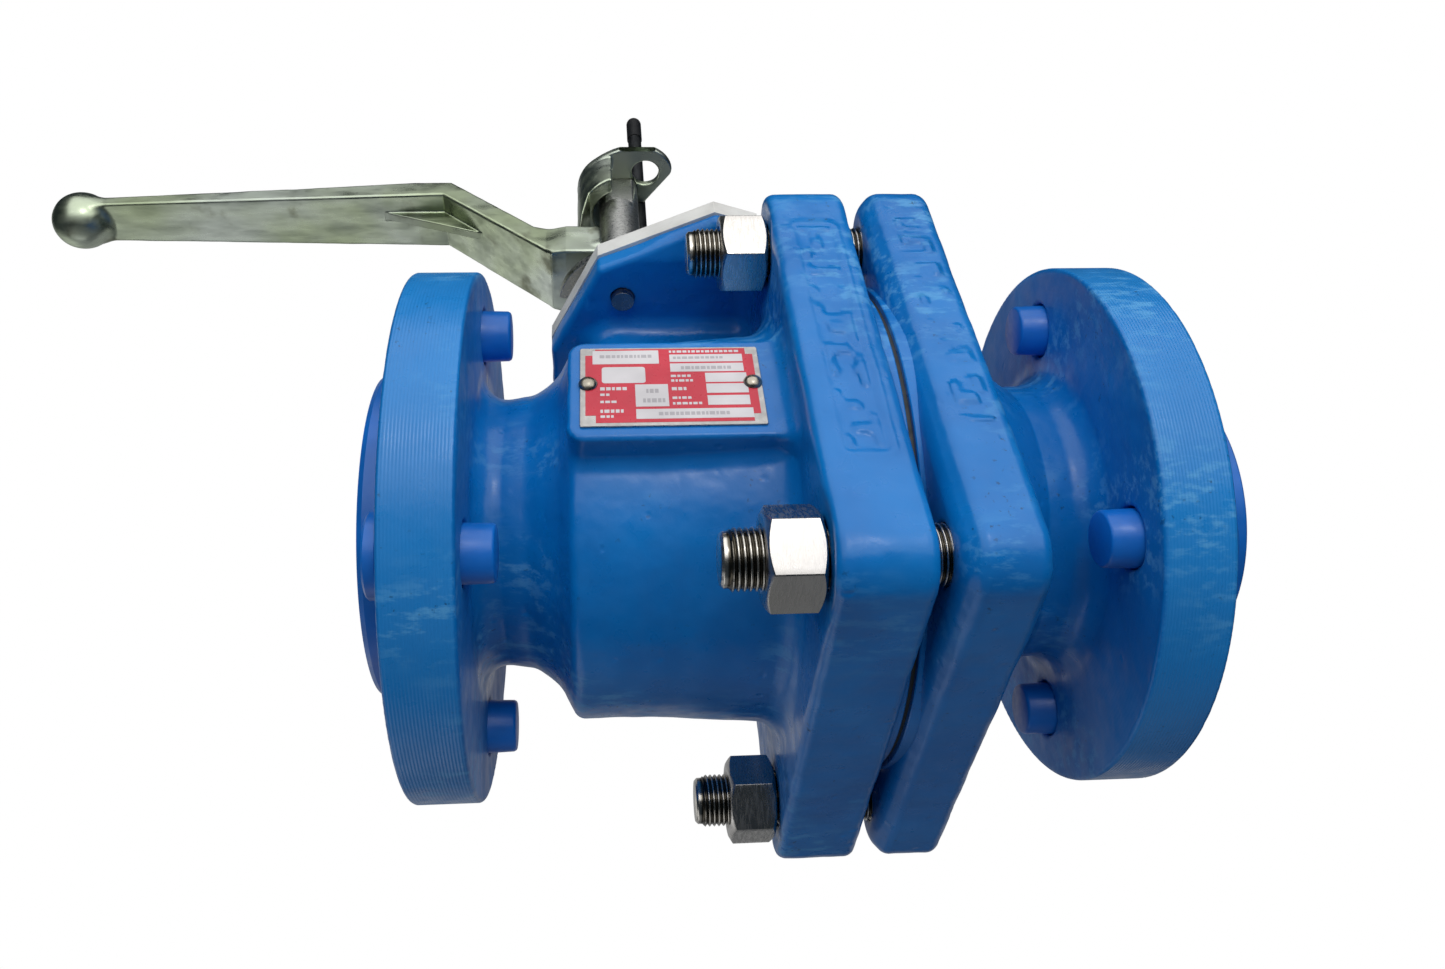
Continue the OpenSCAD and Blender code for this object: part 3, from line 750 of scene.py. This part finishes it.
def faced(p):
    """1 on the faces of the pipe flanges that look towards the plates."""
    rho = np.hypot(p[:, 1], p[:, 2])
    near = step(-np.minimum(np.abs(p[:, 0] - LF1), np.abs(p[:, 0] - RF0)), -0.9, -0.3)
    return near * step(rho, NECK_R + 7, NECK_R + 10) * (1 - step(rho, RIM_R - 1.5, RIM_R - 0.5))


MARKS = {"machined": machined, "faced": faced}
CELL = 1.05

field_object("body_casting", body_field, (LF0, -RIM_R, -RIM_R), (BP1, RIM_R, EAR_Z1), CELL,
             "root", M["cast_blue"], ("body", "body_flange", "body_plate"),
             body_relief, MARKS)


# ---------- cover casting ----------

def cover_field(x, y, z):
    rho = np.hypot(y, z)
    cone = polygon(rho, x, [(-60, CP0 + 4), (CONE_R, CP0 + 4), (CONE_R, CP1 - 1), (NECK_R, 121),
                            (NECK_R, RF0 + 6), (-60, RF0 + 6)], 3)
    square = round_square(y, z, JOINT_HALF, CORNER_R)
    run, depth = COVER_CHAMFER
    chamfer = (run * (1 + square / depth) - (x - CP0)) * depth / math.hypot(run, depth)
    left = common(CP0 - x, chamfer, 2)
    plate = common(common(square, left, 1.3), x - CP1, 4.2)
    d = union(cone, plate, 12)
    nose = disc_x(x, rho, NOSE_X, CP0 + 9, NOSE_R, 0.5)
    d = union(d, nose, 0.5)
    flange = disc_x(x, rho, RF0, RF1, RIM_R, 1.2)
    d = union(d, flange, 8)
    d = cut(d, rho - PORT_METAL_R, 0.6)
    for sy, sz in BOLT_AT:
        hole = common(np.hypot(y - sy, z - sz) - BOLT_R - 0.05, slab(x, RF0 - 6, RF1 + 6))
        d = cut(d, hole, 0.7)
    for sy, sz in STUDS_AT:
        d = cut(d, common(np.hypot(y - sy, z - sz) - STUD_TAP_R, slab(x, CP0 - 6, CP1 - 2)), 0.7)
    return d


def cover_relief(p):
    return cast_relief(31)(p) + lumps(p, CP0 + 7.5, CP1 - 4, -34, 58, 41) * rough_mask(p)


field_object("cover_casting", cover_field, (NOSE_X, -RIM_R, -RIM_R), (RF1, RIM_R, RIM_R), CELL,
             "root", M["cast_blue"], ("cover", "cover_flange", "cover_plate"),
             cover_relief, MARKS)


# ---------- turned rings at the joint ----------

def collar(inner, outer, x0, x1, soft=0.3, segments=192):
    """Closed ring round the pipe axis from x0 to x1, with its outer edges rounded."""
    loop = [(inner, x0), (outer - soft, x0), (outer, x0 + soft),
            (outer, x1 - soft), (outer - soft, x1), (inner, x1)]
    angle = np.linspace(0, 2 * math.pi, segments, endpoint=False)
    pts = np.concatenate([np.stack([np.full(segments, x), radius * np.cos(angle), radius * np.sin(angle)], 1)
                          for radius, x in loop])
    faces = []
    for i in range(len(loop)):
        j = (i + 1) % len(loop)
        for k in range(segments):
            m = (k + 1) % segments
            faces.append([i * segments + k, j * segments + k, j * segments + m, i * segments + m])
    return pts, faces


rings = [collar(58.1, JOINT_RING_R - 0.5, BP1 - 2, BODY_RING_X),
         collar(42.0, JOINT_RING_R, COVER_RING_X, CP0 + 2)]
add("joint_rings", smooth(new_mesh("joint_rings", *join(rings)), 40), "root", M["cast_blue"])


# ---------- lever ----------

BAR_SIDE = [(-219, 171.1), (-74, 172), (-28, 129.3), (-22, 128.3), (-8, 128), (-8, 145), (-28, 145.7),
            (-35, 148), (-71, 181.4), (-85, 181.9), (-134, 179.6), (-219, 176.7)]
BAR_PLAN = [(-219, 9.1), (-76, 13.3), (-30, 14.2), (-22, 16), (-8, 16)]
HUB_SIDE = [(-30, 132), (-8, 132), (-9.5, 141), (-13.5, 148.5), (-16.5, 157), (-15.5, 165), (-12.5, 174),
            (-4.7, 176.3), (-3, 176.3), (-3, 195.2), (-30, 195.2)]
RIB_SIDE = [(-99, 171.8), (-57, 156.4), (-57, 162), (-74, 176), (-99, 174)]
HUB_Z0, HUB_Z1 = STEM_TOP - 3.6, STEM_TOP
EYE, EYE_R, EYE_BOSS_R = (11.8, -9.2), 6.0, 11.4
ROD_AT, ROD_HOLE_R = (9.2, 9.0), 3.3
HUB_R, HUB_BORE_R = 18.0, 11.5
BALL, BALL_R = (-224.5, 173.2), 11.75
RIB_Y, RIB_HALF = -2.6, 1.9


def lever_field(x, y, z):
    side = polygon(x, z, BAR_SIDE, 2.4)
    half = np.interp(x, [p[0] for p in BAR_PLAN], [p[1] for p in BAR_PLAN]).astype(np.float32)
    plan = np.maximum(np.abs(y) - half, slab(x, -219, -8))
    bar = common(side, plan, 1.1)
    ball = np.sqrt((x - BALL[0]) ** 2 + y * y + (z - BALL[1]) ** 2) - BALL_R
    d = union(bar, ball, 3)
    rho = np.hypot(x, y)
    wall = common(common(rho - HUB_R, polygon(x, z, HUB_SIDE, 0.5), 1.0), slab(z, 125, HUB_Z1 - 0.5))
    d = union(d, wall, 2.5)
    d = cut(d, common(rho - HUB_BORE_R, slab(z, 110, HUB_Z0)), 0.8)
    rib = common(polygon(x, z, RIB_SIDE, 0.2), np.abs(y - RIB_Y) - RIB_HALF, 0.4)
    d = union(d, rib, 0.7)
    disc = union(rho - HUB_R, np.hypot(x - EYE[0], y - EYE[1]) - EYE_BOSS_R, 12)
    c, s = math.cos(math.radians(38)), math.sin(math.radians(38))
    disc = common(disc, x * c + y * s - 13, 2)
    top = common(disc, slab(z, HUB_Z0, HUB_Z1), 0.9)
    d = union(d, top, 0.8)
    d = cut(d, common(np.hypot(x - EYE[0], y - EYE[1]) - EYE_R, slab(z, 185, 210)), 0.8)
    d = cut(d, common(np.hypot(x - ROD_AT[0], y - ROD_AT[1]) - ROD_HOLE_R, slab(z, 185, 210)), 0.4)
    slot = common(rho - 8.6, np.abs(y) - 6.3)
    return cut(d, common(slot, slab(z, 185, 210)), 0.3)


def lever_relief(p):
    return 0.10 * noise(p, 9, 51) + 0.035 * noise(p, 3.5, 52)


field_object("lever_forging", lever_field, (GRIP_X0, -19, 127), (23, 19, HUB_Z1 + 0.5),
             0.62, "lever_stem_ball", M["zinc_lever"],
             ("lever", "lever_grip"), lever_relief)


# ---------- studs and nuts ----------

def thread(x0, x1, radius, pitch, segments=40, per_turn=8, chamfer=1.4, centre=(0, 0, 0)):
    """Closed rod with a helical V thread and chamfered ends."""
    depth = 0.5 * pitch
    rows = int((x1 - x0) / pitch * per_turn)
    t = np.linspace(x0, x1, rows + 1)
    a = np.linspace(0, 2 * math.pi, segments, endpoint=False)
    T, A = np.meshgrid(t, a, indexing="ij")
    phase = (T / pitch - A / (2 * math.pi)) % 1.0
    v = np.abs(phase * 2 - 1)
    v = np.clip((v - 0.12) / 0.72, 0, 1)
    r = radius - depth * (1 - v)
    end = np.minimum(T - x0, x1 - T)
    r = np.minimum(r, radius - chamfer - 0.3 + np.minimum(end, 0.8) + np.maximum(end - 2.2, 0))
    pts = np.stack([T, r * np.cos(A), r * np.sin(A)], -1).reshape(-1, 3)
    faces = []
    for i in range(rows):
        for k in range(segments):
            m = (k + 1) % segments
            faces.append([i * segments + k, i * segments + m, (i + 1) * segments + m, (i + 1) * segments + k])
    n = len(pts)
    pts = np.concatenate([pts, [[x0, 0, 0], [x1, 0, 0]]])
    last = rows * segments
    for k in range(segments):
        m = (k + 1) % segments
        faces.append([n, m, k])
        faces.append([n + 1, last + k, last + m])
    return pts + np.array(centre), faces


def hex_ring(af, corner):
    """Outline of a hexagon with flats at +-90 degrees and round corners, as (angle, radius)."""
    out = []
    reach = (af / 2 - corner) / math.cos(math.pi / 6)
    for k in range(6):
        c = k * math.pi / 3
        cx, cy = reach * math.cos(c), reach * math.sin(c)
        for s in np.linspace(-math.pi / 6, math.pi / 6, 5):
            px, py = cx + corner * math.cos(c + s), cy + corner * math.sin(c + s)
            out.append((px, py))
        nx = c + math.pi / 3
        ex, ey = reach * math.cos(nx), reach * math.sin(nx)
        ax, ay = out[-1]
        bx, by = ex + corner * math.cos(nx - math.pi / 6), ey + corner * math.sin(nx - math.pi / 6)
        for t in np.linspace(0, 1, 10)[1:-1]:
            out.append((ax + (bx - ax) * t, ay + (by - ay) * t))
    return np.array(out)


def hex_nut(af, x0, x1, bore, corner=0.5):
    """Hexagon nut along X with 30 degree chamfers, from x0 to x1."""
    outline = hex_ring(af, corner)
    radius = np.hypot(*outline.T)
    direction = outline / radius[:, None]
    crown = af / 2 * 0.955
    drop = np.maximum(radius - crown, 0) * math.tan(math.radians(30))
    n = len(outline)

    def ring(r, x):
        r, x = np.broadcast_to(r, n), np.broadcast_to(x, n)
        return np.stack([x, direction[:, 0] * r, direction[:, 1] * r], 1)

    soft = 0.25
    rings = [ring(bore, x0 + 1.0), ring(bore + 0.9, x0), ring(crown - 0.5, x0), ring(crown, x0 + 0.12),
             ring(radius - soft, x0 + drop + 0.02), ring(radius, x0 + drop + soft),
             ring(radius, x1 - drop - soft), ring(radius - soft, x1 - drop - 0.02),
             ring(crown, x1 - 0.12), ring(crown - 0.5, x1), ring(bore + 0.9, x1), ring(bore, x1 - 1.0)]
    pts = np.concatenate(rings)
    faces = []
    for i in range(len(rings)):
        j = (i + 1) % len(rings)
        for k in range(n):
            m = (k + 1) % n
            faces.append([i * n + k, j * n + k, j * n + m, i * n + m])
    return pts, faces


NUT_TURNS = (-5.0, -6.0, 8.0, 3.0)
studs, nuts = [], []
for number, (sy, sz) in enumerate(STUDS_AT):
    studs.append(thread(STUD_X0, STUD_X1, STUD_R, 1.5, centre=(0, sy, sz)))
    points, faces = hex_nut(NUT_AF, NUT_X0, NUT_X1, STUD_R + 0.05)
    turn = math.radians(NUT_TURNS[number])
    c, s = math.cos(turn), math.sin(turn)
    points[:, 1:] = points[:, 1:] @ np.array([[c, s], [-s, c]])
    nuts.append((points + np.array([0, sy, sz]), faces))
stud_points, stud_faces = join(studs)
stud_mesh = smooth(new_mesh("joint_studs", stud_points, stud_faces), 75)
# painted highlight mask on the studs: 1 on the thread crests and on the chamfered ends, 0 in the roots
painted_highlight = stud_mesh.attributes.new("painted_highlight", "FLOAT", "POINT")
off_axis = np.min([np.hypot(stud_points[:, 1] - sy, stud_points[:, 2] - sz) for sy, sz in STUDS_AT], axis=0)
crest_highlight = step(off_axis, STUD_R - 0.35, STUD_R - 0.1)
on_end = step(STUD_X0 + 1.6 - stud_points[:, 0], -0.3, 0.3)
painted_highlight.data.foreach_set("value", np.maximum(crest_highlight, on_end).astype(np.float32))
add("joint_studs", stud_mesh, "root", M["stud_steel"], ("body_studs",))
add("joint_nuts", smooth(new_mesh("joint_nuts", *join(nuts)), 24), "root", M["nut_steel"],
    ("body_nuts",))


# ---------- small steel pieces ----------

refine("top_plate", "top_plate_rounded", "root", M["plate_steel"], 0.7)
refine("top_plate_screws", "plate_screws", "root", M["screw_steel"], 1.1, 3)
refine("stop_plate", "stop_disc", "lever_stem_ball", M["zinc_steel"], 0.4)
refine("stop_pin", "stop_pin_rounded", "root", M["black_steel"], 0.3)
refine("gland_nut", "gland_nut_rounded", "lever_stem_ball", M["zinc_steel"], 0.5)
refine("lever_washer", "lever_washer_rounded", "lever_stem_ball", M["zinc_steel"], 0.3)
refine("lever_screw", "lever_screw_rounded", "lever_stem_ball", M["zinc_steel"], 0.4)
refine("stem", "stem_turned", "lever_stem_ball", M["stem_steel"], 0.35)
refine("lock_rod", "lock_rod_rounded", "lever_stem_ball", M["black_steel"], 0.3)
refine("lock_rod_cap", "lock_rod_tip", "lever_stem_ball", M["black_plastic"], 0.3)


# ---------- nameplate ----------

def slab_mesh(x0, x1, z0, z1, y, depth, r=0.0, steps=5):
    """Thin tablet facing -Y, its front at y - depth, with round corners."""
    r = min(r, (x1 - x0) / 2 - 0.01, (z1 - z0) / 2 - 0.01)
    outline = []
    corners = ((x1 - r, z1 - r, 0), (x0 + r, z1 - r, 90), (x0 + r, z0 + r, 180), (x1 - r, z0 + r, 270))
    for cx, cz, a0 in corners:
        angles = np.linspace(a0, a0 + 90, steps) if r > 0 else [a0 + 45]
        for a in np.radians(angles):
            outline.append((cx + r * math.cos(a), cz + r * math.sin(a)))
    outline = np.array(outline)
    centre = outline.mean(0)
    bevel = min(0.12, depth * 0.5)
    small = centre + (outline - centre) * (1 - bevel / np.maximum(np.abs(outline - centre), 1.0))
    n = len(outline)
    rings = [(outline, y), (outline, y - depth + bevel), (small, y - depth)]
    pts = np.concatenate([np.stack([o[:, 0], np.full(n, h), o[:, 1]], 1) for o, h in rings])
    faces = [[i * n + k, (i + 1) * n + k, (i + 1) * n + (k + 1) % n, i * n + (k + 1) % n]
             for i in range(2) for k in range(n)]
    faces += [[2 * n + k for k in range(n)], [k for k in range(n)][::-1]]
    return pts, [f[::-1] for f in faces]


PW, PH = NAME_HI[0] - NAME_LO[0], NAME_HI[2] - NAME_LO[2]


def at(u0, u1, v0, v1):
    """Rectangle on the nameplate from shares of its width and of its height from the top."""
    return (NAME_LO[0] + u0 * PW, NAME_LO[0] + u1 * PW, NAME_HI[2] - v1 * PH, NAME_HI[2] - v0 * PH)


base_t, layer = 0.62, 0.06
front = NAME_HI[1] - base_t
plate_mesh = smooth(new_mesh("nameplate_sheet", *slab_mesh(*at(0, 1, 0, 1), NAME_HI[1], base_t, 0.6)), 40)
add("nameplate_sheet", plate_mesh, "root", M["plate_silver"], ("nameplate",))

red = [at(0.085, 0.93, 0.02, 0.10), at(0.03, 0.97, 0.10, 0.87), at(0.085, 0.93, 0.87, 0.96)]
add("nameplate_field", smooth(new_mesh("nameplate_field", *join(
    [slab_mesh(*r, front, layer) for r in red])), 40), "root", M["plate_red"])

windows = [(0.07, 0.44, 0.04, 0.22, 0), (0.50, 0.91, 0.10, 0.20, 0), (0.50, 0.91, 0.22, 0.33, 0),
           (0.12, 0.36, 0.26, 0.47, 0.9), (0.69, 0.92, 0.35, 0.47, 0), (0.69, 0.92, 0.49, 0.61, 0),
           (0.69, 0.92, 0.64, 0.76, 0), (0.30, 0.48, 0.49, 0.77, 0), (0.30, 0.93, 0.80, 0.92, 0)]
add("nameplate_windows", smooth(new_mesh("nameplate_windows", *join(
    [slab_mesh(*at(*w[:4]), front - layer, layer, w[4]) for w in windows])), 40), "root", M["plate_white"])


def dashes(rows, seed):
    """Rows of short plain bars, where the real plate has printed words."""
    rng = np.random.default_rng(seed)
    out = []
    for u0, u1, v0, v1 in rows:
        u = u0
        while u < u1 - 0.01:
            w = min(rng.uniform(0.012, 0.03), u1 - u)
            out.append(slab_mesh(*at(u, u + w, v0, v1), front - layer, 0.03))
            u += w + 0.007
    return join(out)


captions = [(0.50, 0.90, 0.045, 0.075), (0.50, 0.61, 0.37, 0.40), (0.50, 0.62, 0.43, 0.46),
            (0.50, 0.58, 0.53, 0.57), (0.50, 0.61, 0.65, 0.68), (0.50, 0.67, 0.72, 0.75),
            (0.11, 0.26, 0.52, 0.56), (0.11, 0.16, 0.60, 0.63), (0.11, 0.21, 0.69, 0.72),
            (0.11, 0.25, 0.80, 0.84), (0.11, 0.18, 0.87, 0.90)]
add("nameplate_captions", smooth(new_mesh("nameplate_captions", *dashes(captions, 3)), 40), "root",
    M["plate_white"])
front -= layer
stamped = [(0.11, 0.40, 0.10, 0.14), (0.52, 0.80, 0.13, 0.16), (0.56, 0.84, 0.26, 0.30),
           (0.36, 0.44, 0.55, 0.60), (0.34, 0.46, 0.67, 0.72), (0.42, 0.80, 0.84, 0.88)]
add("nameplate_stamps", smooth(new_mesh("nameplate_stamps", *dashes(stamped, 5)), 40), "root",
    M["plate_ink"])

RIVETS = [(-12.7, -2.0), (33.9, -2.0)]
dome = [(0.0, 1.62), (0.8, 1.52), (1.5, 1.25), (2.1, 0.85), (2.5, 0.42), (2.7, 0.0)]
rivet_parts = [lathe([(1.3, -4.0 - 0.8), (1.3, 0)] + [(2.7, 0.0)] + dome[::-1][1:], "-y",
                     (rx, BOSS_Y - 0.8, rz), 40) for rx, rz in RIVETS]
add("plate_rivets", smooth(new_mesh("plate_rivets", *join(rivet_parts)), 50), "root", M["rivet_steel"],
    ("nameplate_rivets",))


# ---------- transit caps ----------

def cap(side):
    """Plastic flange protector. side is -1 on the left and +1 on the right."""
    face = RF1 if side > 0 else LF0
    if side > 0:
        prof = [(0, 4.5), (50.2, 4.5), (51.2, 5.5), (51.2, 9.6), (50.0, 11.0), (44.4, 11.0), (43.6, 12.0),
                (43.0, 24.9), (42.2, 25.7), (0, 25.7)]
    else:
        prof = [(0, 4.5), (50.2, 4.5), (51.2, 5.5), (51.2, 9.4), (50.0, 11.0), (28.5, 11.4), (26.8, 12.2),
                (25.8, 15.0), (24.6, 16.2), (0, 16.2)]
    pts, faces = lathe([(r, h) for r, h in prof], "x", segments=128)
    pts[:, 0] = face + side * pts[:, 0]
    if side < 0:
        faces = [f[::-1] for f in faces]
    return pts, faces


def peg(side, y, z):
    """Tapered plug pressed through a bolt hole from the outside of a flange."""
    outer, inner = (RF1, RF0) if side > 0 else (LF0, LF1)
    start, end = outer + side * 5.0, inner - side * 8.5
    length = abs(end - start)
    prof = [(0, 0), (11.2, 0), (11.8, 0.6), (11.8, 3.4), (11.2, 4.0), (8.9, 4.1), (8.85, 4.6),
            (8.0, length - 0.9), (7.6, length - 0.2), (7.2, length), (0, length)]
    pts, faces = lathe(prof, "x", segments=64)
    pts[:, 0] = start - side * pts[:, 0]
    if side > 0:
        faces = [f[::-1] for f in faces]
    return pts + np.array([0, y, z]), faces


for side, name in ((-1, "left"), (1, "right")):
    parts = [cap(side)] + [peg(side, y, z) for y, z in BOLT_AT]
    add("transit_cap_" + name, smooth(new_mesh("transit_cap_" + name, *join(parts)), 35), "root",
        M["cap_plastic"])


# ---------- carried-over nodes ----------

SLOTS = {p["node"]: p["material_slot"] for p in frame["record"]["subparts"]}
for node, obj in frame["nodes"].items():
    material = M.get(SLOTS.get(node, ""), M["core_steel"])
    if not obj.material_slots:
        obj.data.materials.append(material)
    for s in obj.material_slots:
        s.material = material


# ---------- floor, lights, world, camera ----------

def floor():
    size, z = 6.0, -0.42
    mesh = bpy.data.meshes.new("floor")
    corners = [(-size, -size, z), (size, -size, z), (size, size, z), (-size, size, z)]
    mesh.from_pydata(corners, [], [(0, 1, 2, 3)])
    s = Shader("floor", (0.5, 0.5, 0.5, 1), 0.8)
    s.color(s.mix(s.ramp(s.noise(3, 3), 0.3, 0.7), (0.48, 0.48, 0.48, 1), (0.52, 0.52, 0.52, 1)))
    s.set("Emission Color", (1, 1, 1, 1))
    s.set("Emission Strength", 0.6)
    mesh.materials.append(s.material)
    obj = bpy.data.objects.new("floor", mesh)
    obj.visible_diffuse = obj.visible_glossy = False
    scene.collection.objects.link(obj)


def area(name, place, target, width, height, power, color=(1, 1, 1), mirrored=True):
    data = bpy.data.lights.new(name, "AREA")
    data.shape, data.size, data.size_y = "RECTANGLE", width, height
    data.energy, data.color = power, color
    obj = bpy.data.objects.new(name, data)
    obj.location = place
    obj.rotation_euler = (Vector(target) - Vector(place)).to_track_quat("-Z", "Y").to_euler()
    obj.visible_camera = False
    obj.visible_glossy = mirrored
    scene.collection.objects.link(obj)


def world():
    w = bpy.data.worlds.new("studio")
    w.use_nodes = True
    scene.world = w
    nodes, links = w.node_tree.nodes, w.node_tree.links
    back = nodes["Background"]
    back.inputs["Color"].default_value = (0.42, 0.72, 1.0, 1)
    back.inputs["Strength"].default_value = 0.13
    seen = nodes.new("ShaderNodeBackground")
    seen.inputs["Color"].default_value = (1, 1, 1, 1)
    seen.inputs["Strength"].default_value = 1.0
    shine = nodes.new("ShaderNodeBackground")
    shine.inputs["Color"].default_value = (0.5, 0.65, 0.8, 1)
    shine.inputs["Strength"].default_value = 0.05
    path = nodes.new("ShaderNodeLightPath")
    glossy, camera_ray = nodes.new("ShaderNodeMixShader"), nodes.new("ShaderNodeMixShader")
    links.new(path.outputs["Is Glossy Ray"], glossy.inputs[0])
    links.new(back.outputs[0], glossy.inputs[1])
    links.new(shine.outputs[0], glossy.inputs[2])
    links.new(path.outputs["Is Camera Ray"], camera_ray.inputs[0])
    links.new(glossy.outputs[0], camera_ray.inputs[1])
    links.new(seen.outputs[0], camera_ray.inputs[2])
    links.new(camera_ray.outputs[0], nodes["World Output"].inputs["Surface"])


floor()
world()
# Radiance of a panel is about its power / (4 * its area). The fill only lights, and is not mirrored.
area("key", (0.08, -0.75, 0.36), (0.08, 0, 0.36), 1.7, 1.5, 12)
area("lamp", (0.1, -0.9, -0.05), (0.05, 0, 0), 0.25, 0.2, 0.9)
area("table_left", (-0.7, 0.55, 0.05), (-0.05, 0, 0.15), 0.5, 0.5, 0.4)
area("bounce_left", (-0.38, 0.34, -0.4), (-0.15, 0, 0.1), 0.6, 0.4, 0.42)
area("bounce", (0.05, 0.36, -0.43), (0.05, 0, 0), 1.3, 0.46, 0.3)
area("fill", (0.02, -0.35, -0.62), (0.05, 0, 0), 1.1, 0.8, 0.9, (0.8, 0.95, 1.0), mirrored=False)
area("table", (-0.15, 0.6, 0.35), (-0.05, 0, 0.15), 1.8, 1.2, 2.3)

CAMERA_PLACE = (-0.00923, -0.28348, -0.23505)
CAMERA_RIGHT = Vector((0.99775, -0.03494, -0.05729)).normalized()
CAMERA_AHEAD = Vector((0.06534, 0.70038, 0.71077)).normalized()


def camera():
    data = bpy.data.cameras.new("camera")
    data.lens, data.sensor_width, data.sensor_fit = 28.19, 36, "HORIZONTAL"
    data.shift_x, data.shift_y = 0.0329, -0.0493
    data.clip_start, data.clip_end = 0.01, 30
    obj = bpy.data.objects.new("camera", data)
    up = CAMERA_RIGHT.cross(CAMERA_AHEAD)
    turn = Matrix((CAMERA_RIGHT, up, -CAMERA_AHEAD)).transposed()
    obj.matrix_world = Matrix.Translation(CAMERA_PLACE) @ turn.to_4x4()
    scene.collection.objects.link(obj)
    scene.camera = obj


camera()
scene.view_settings.view_transform = "Standard"
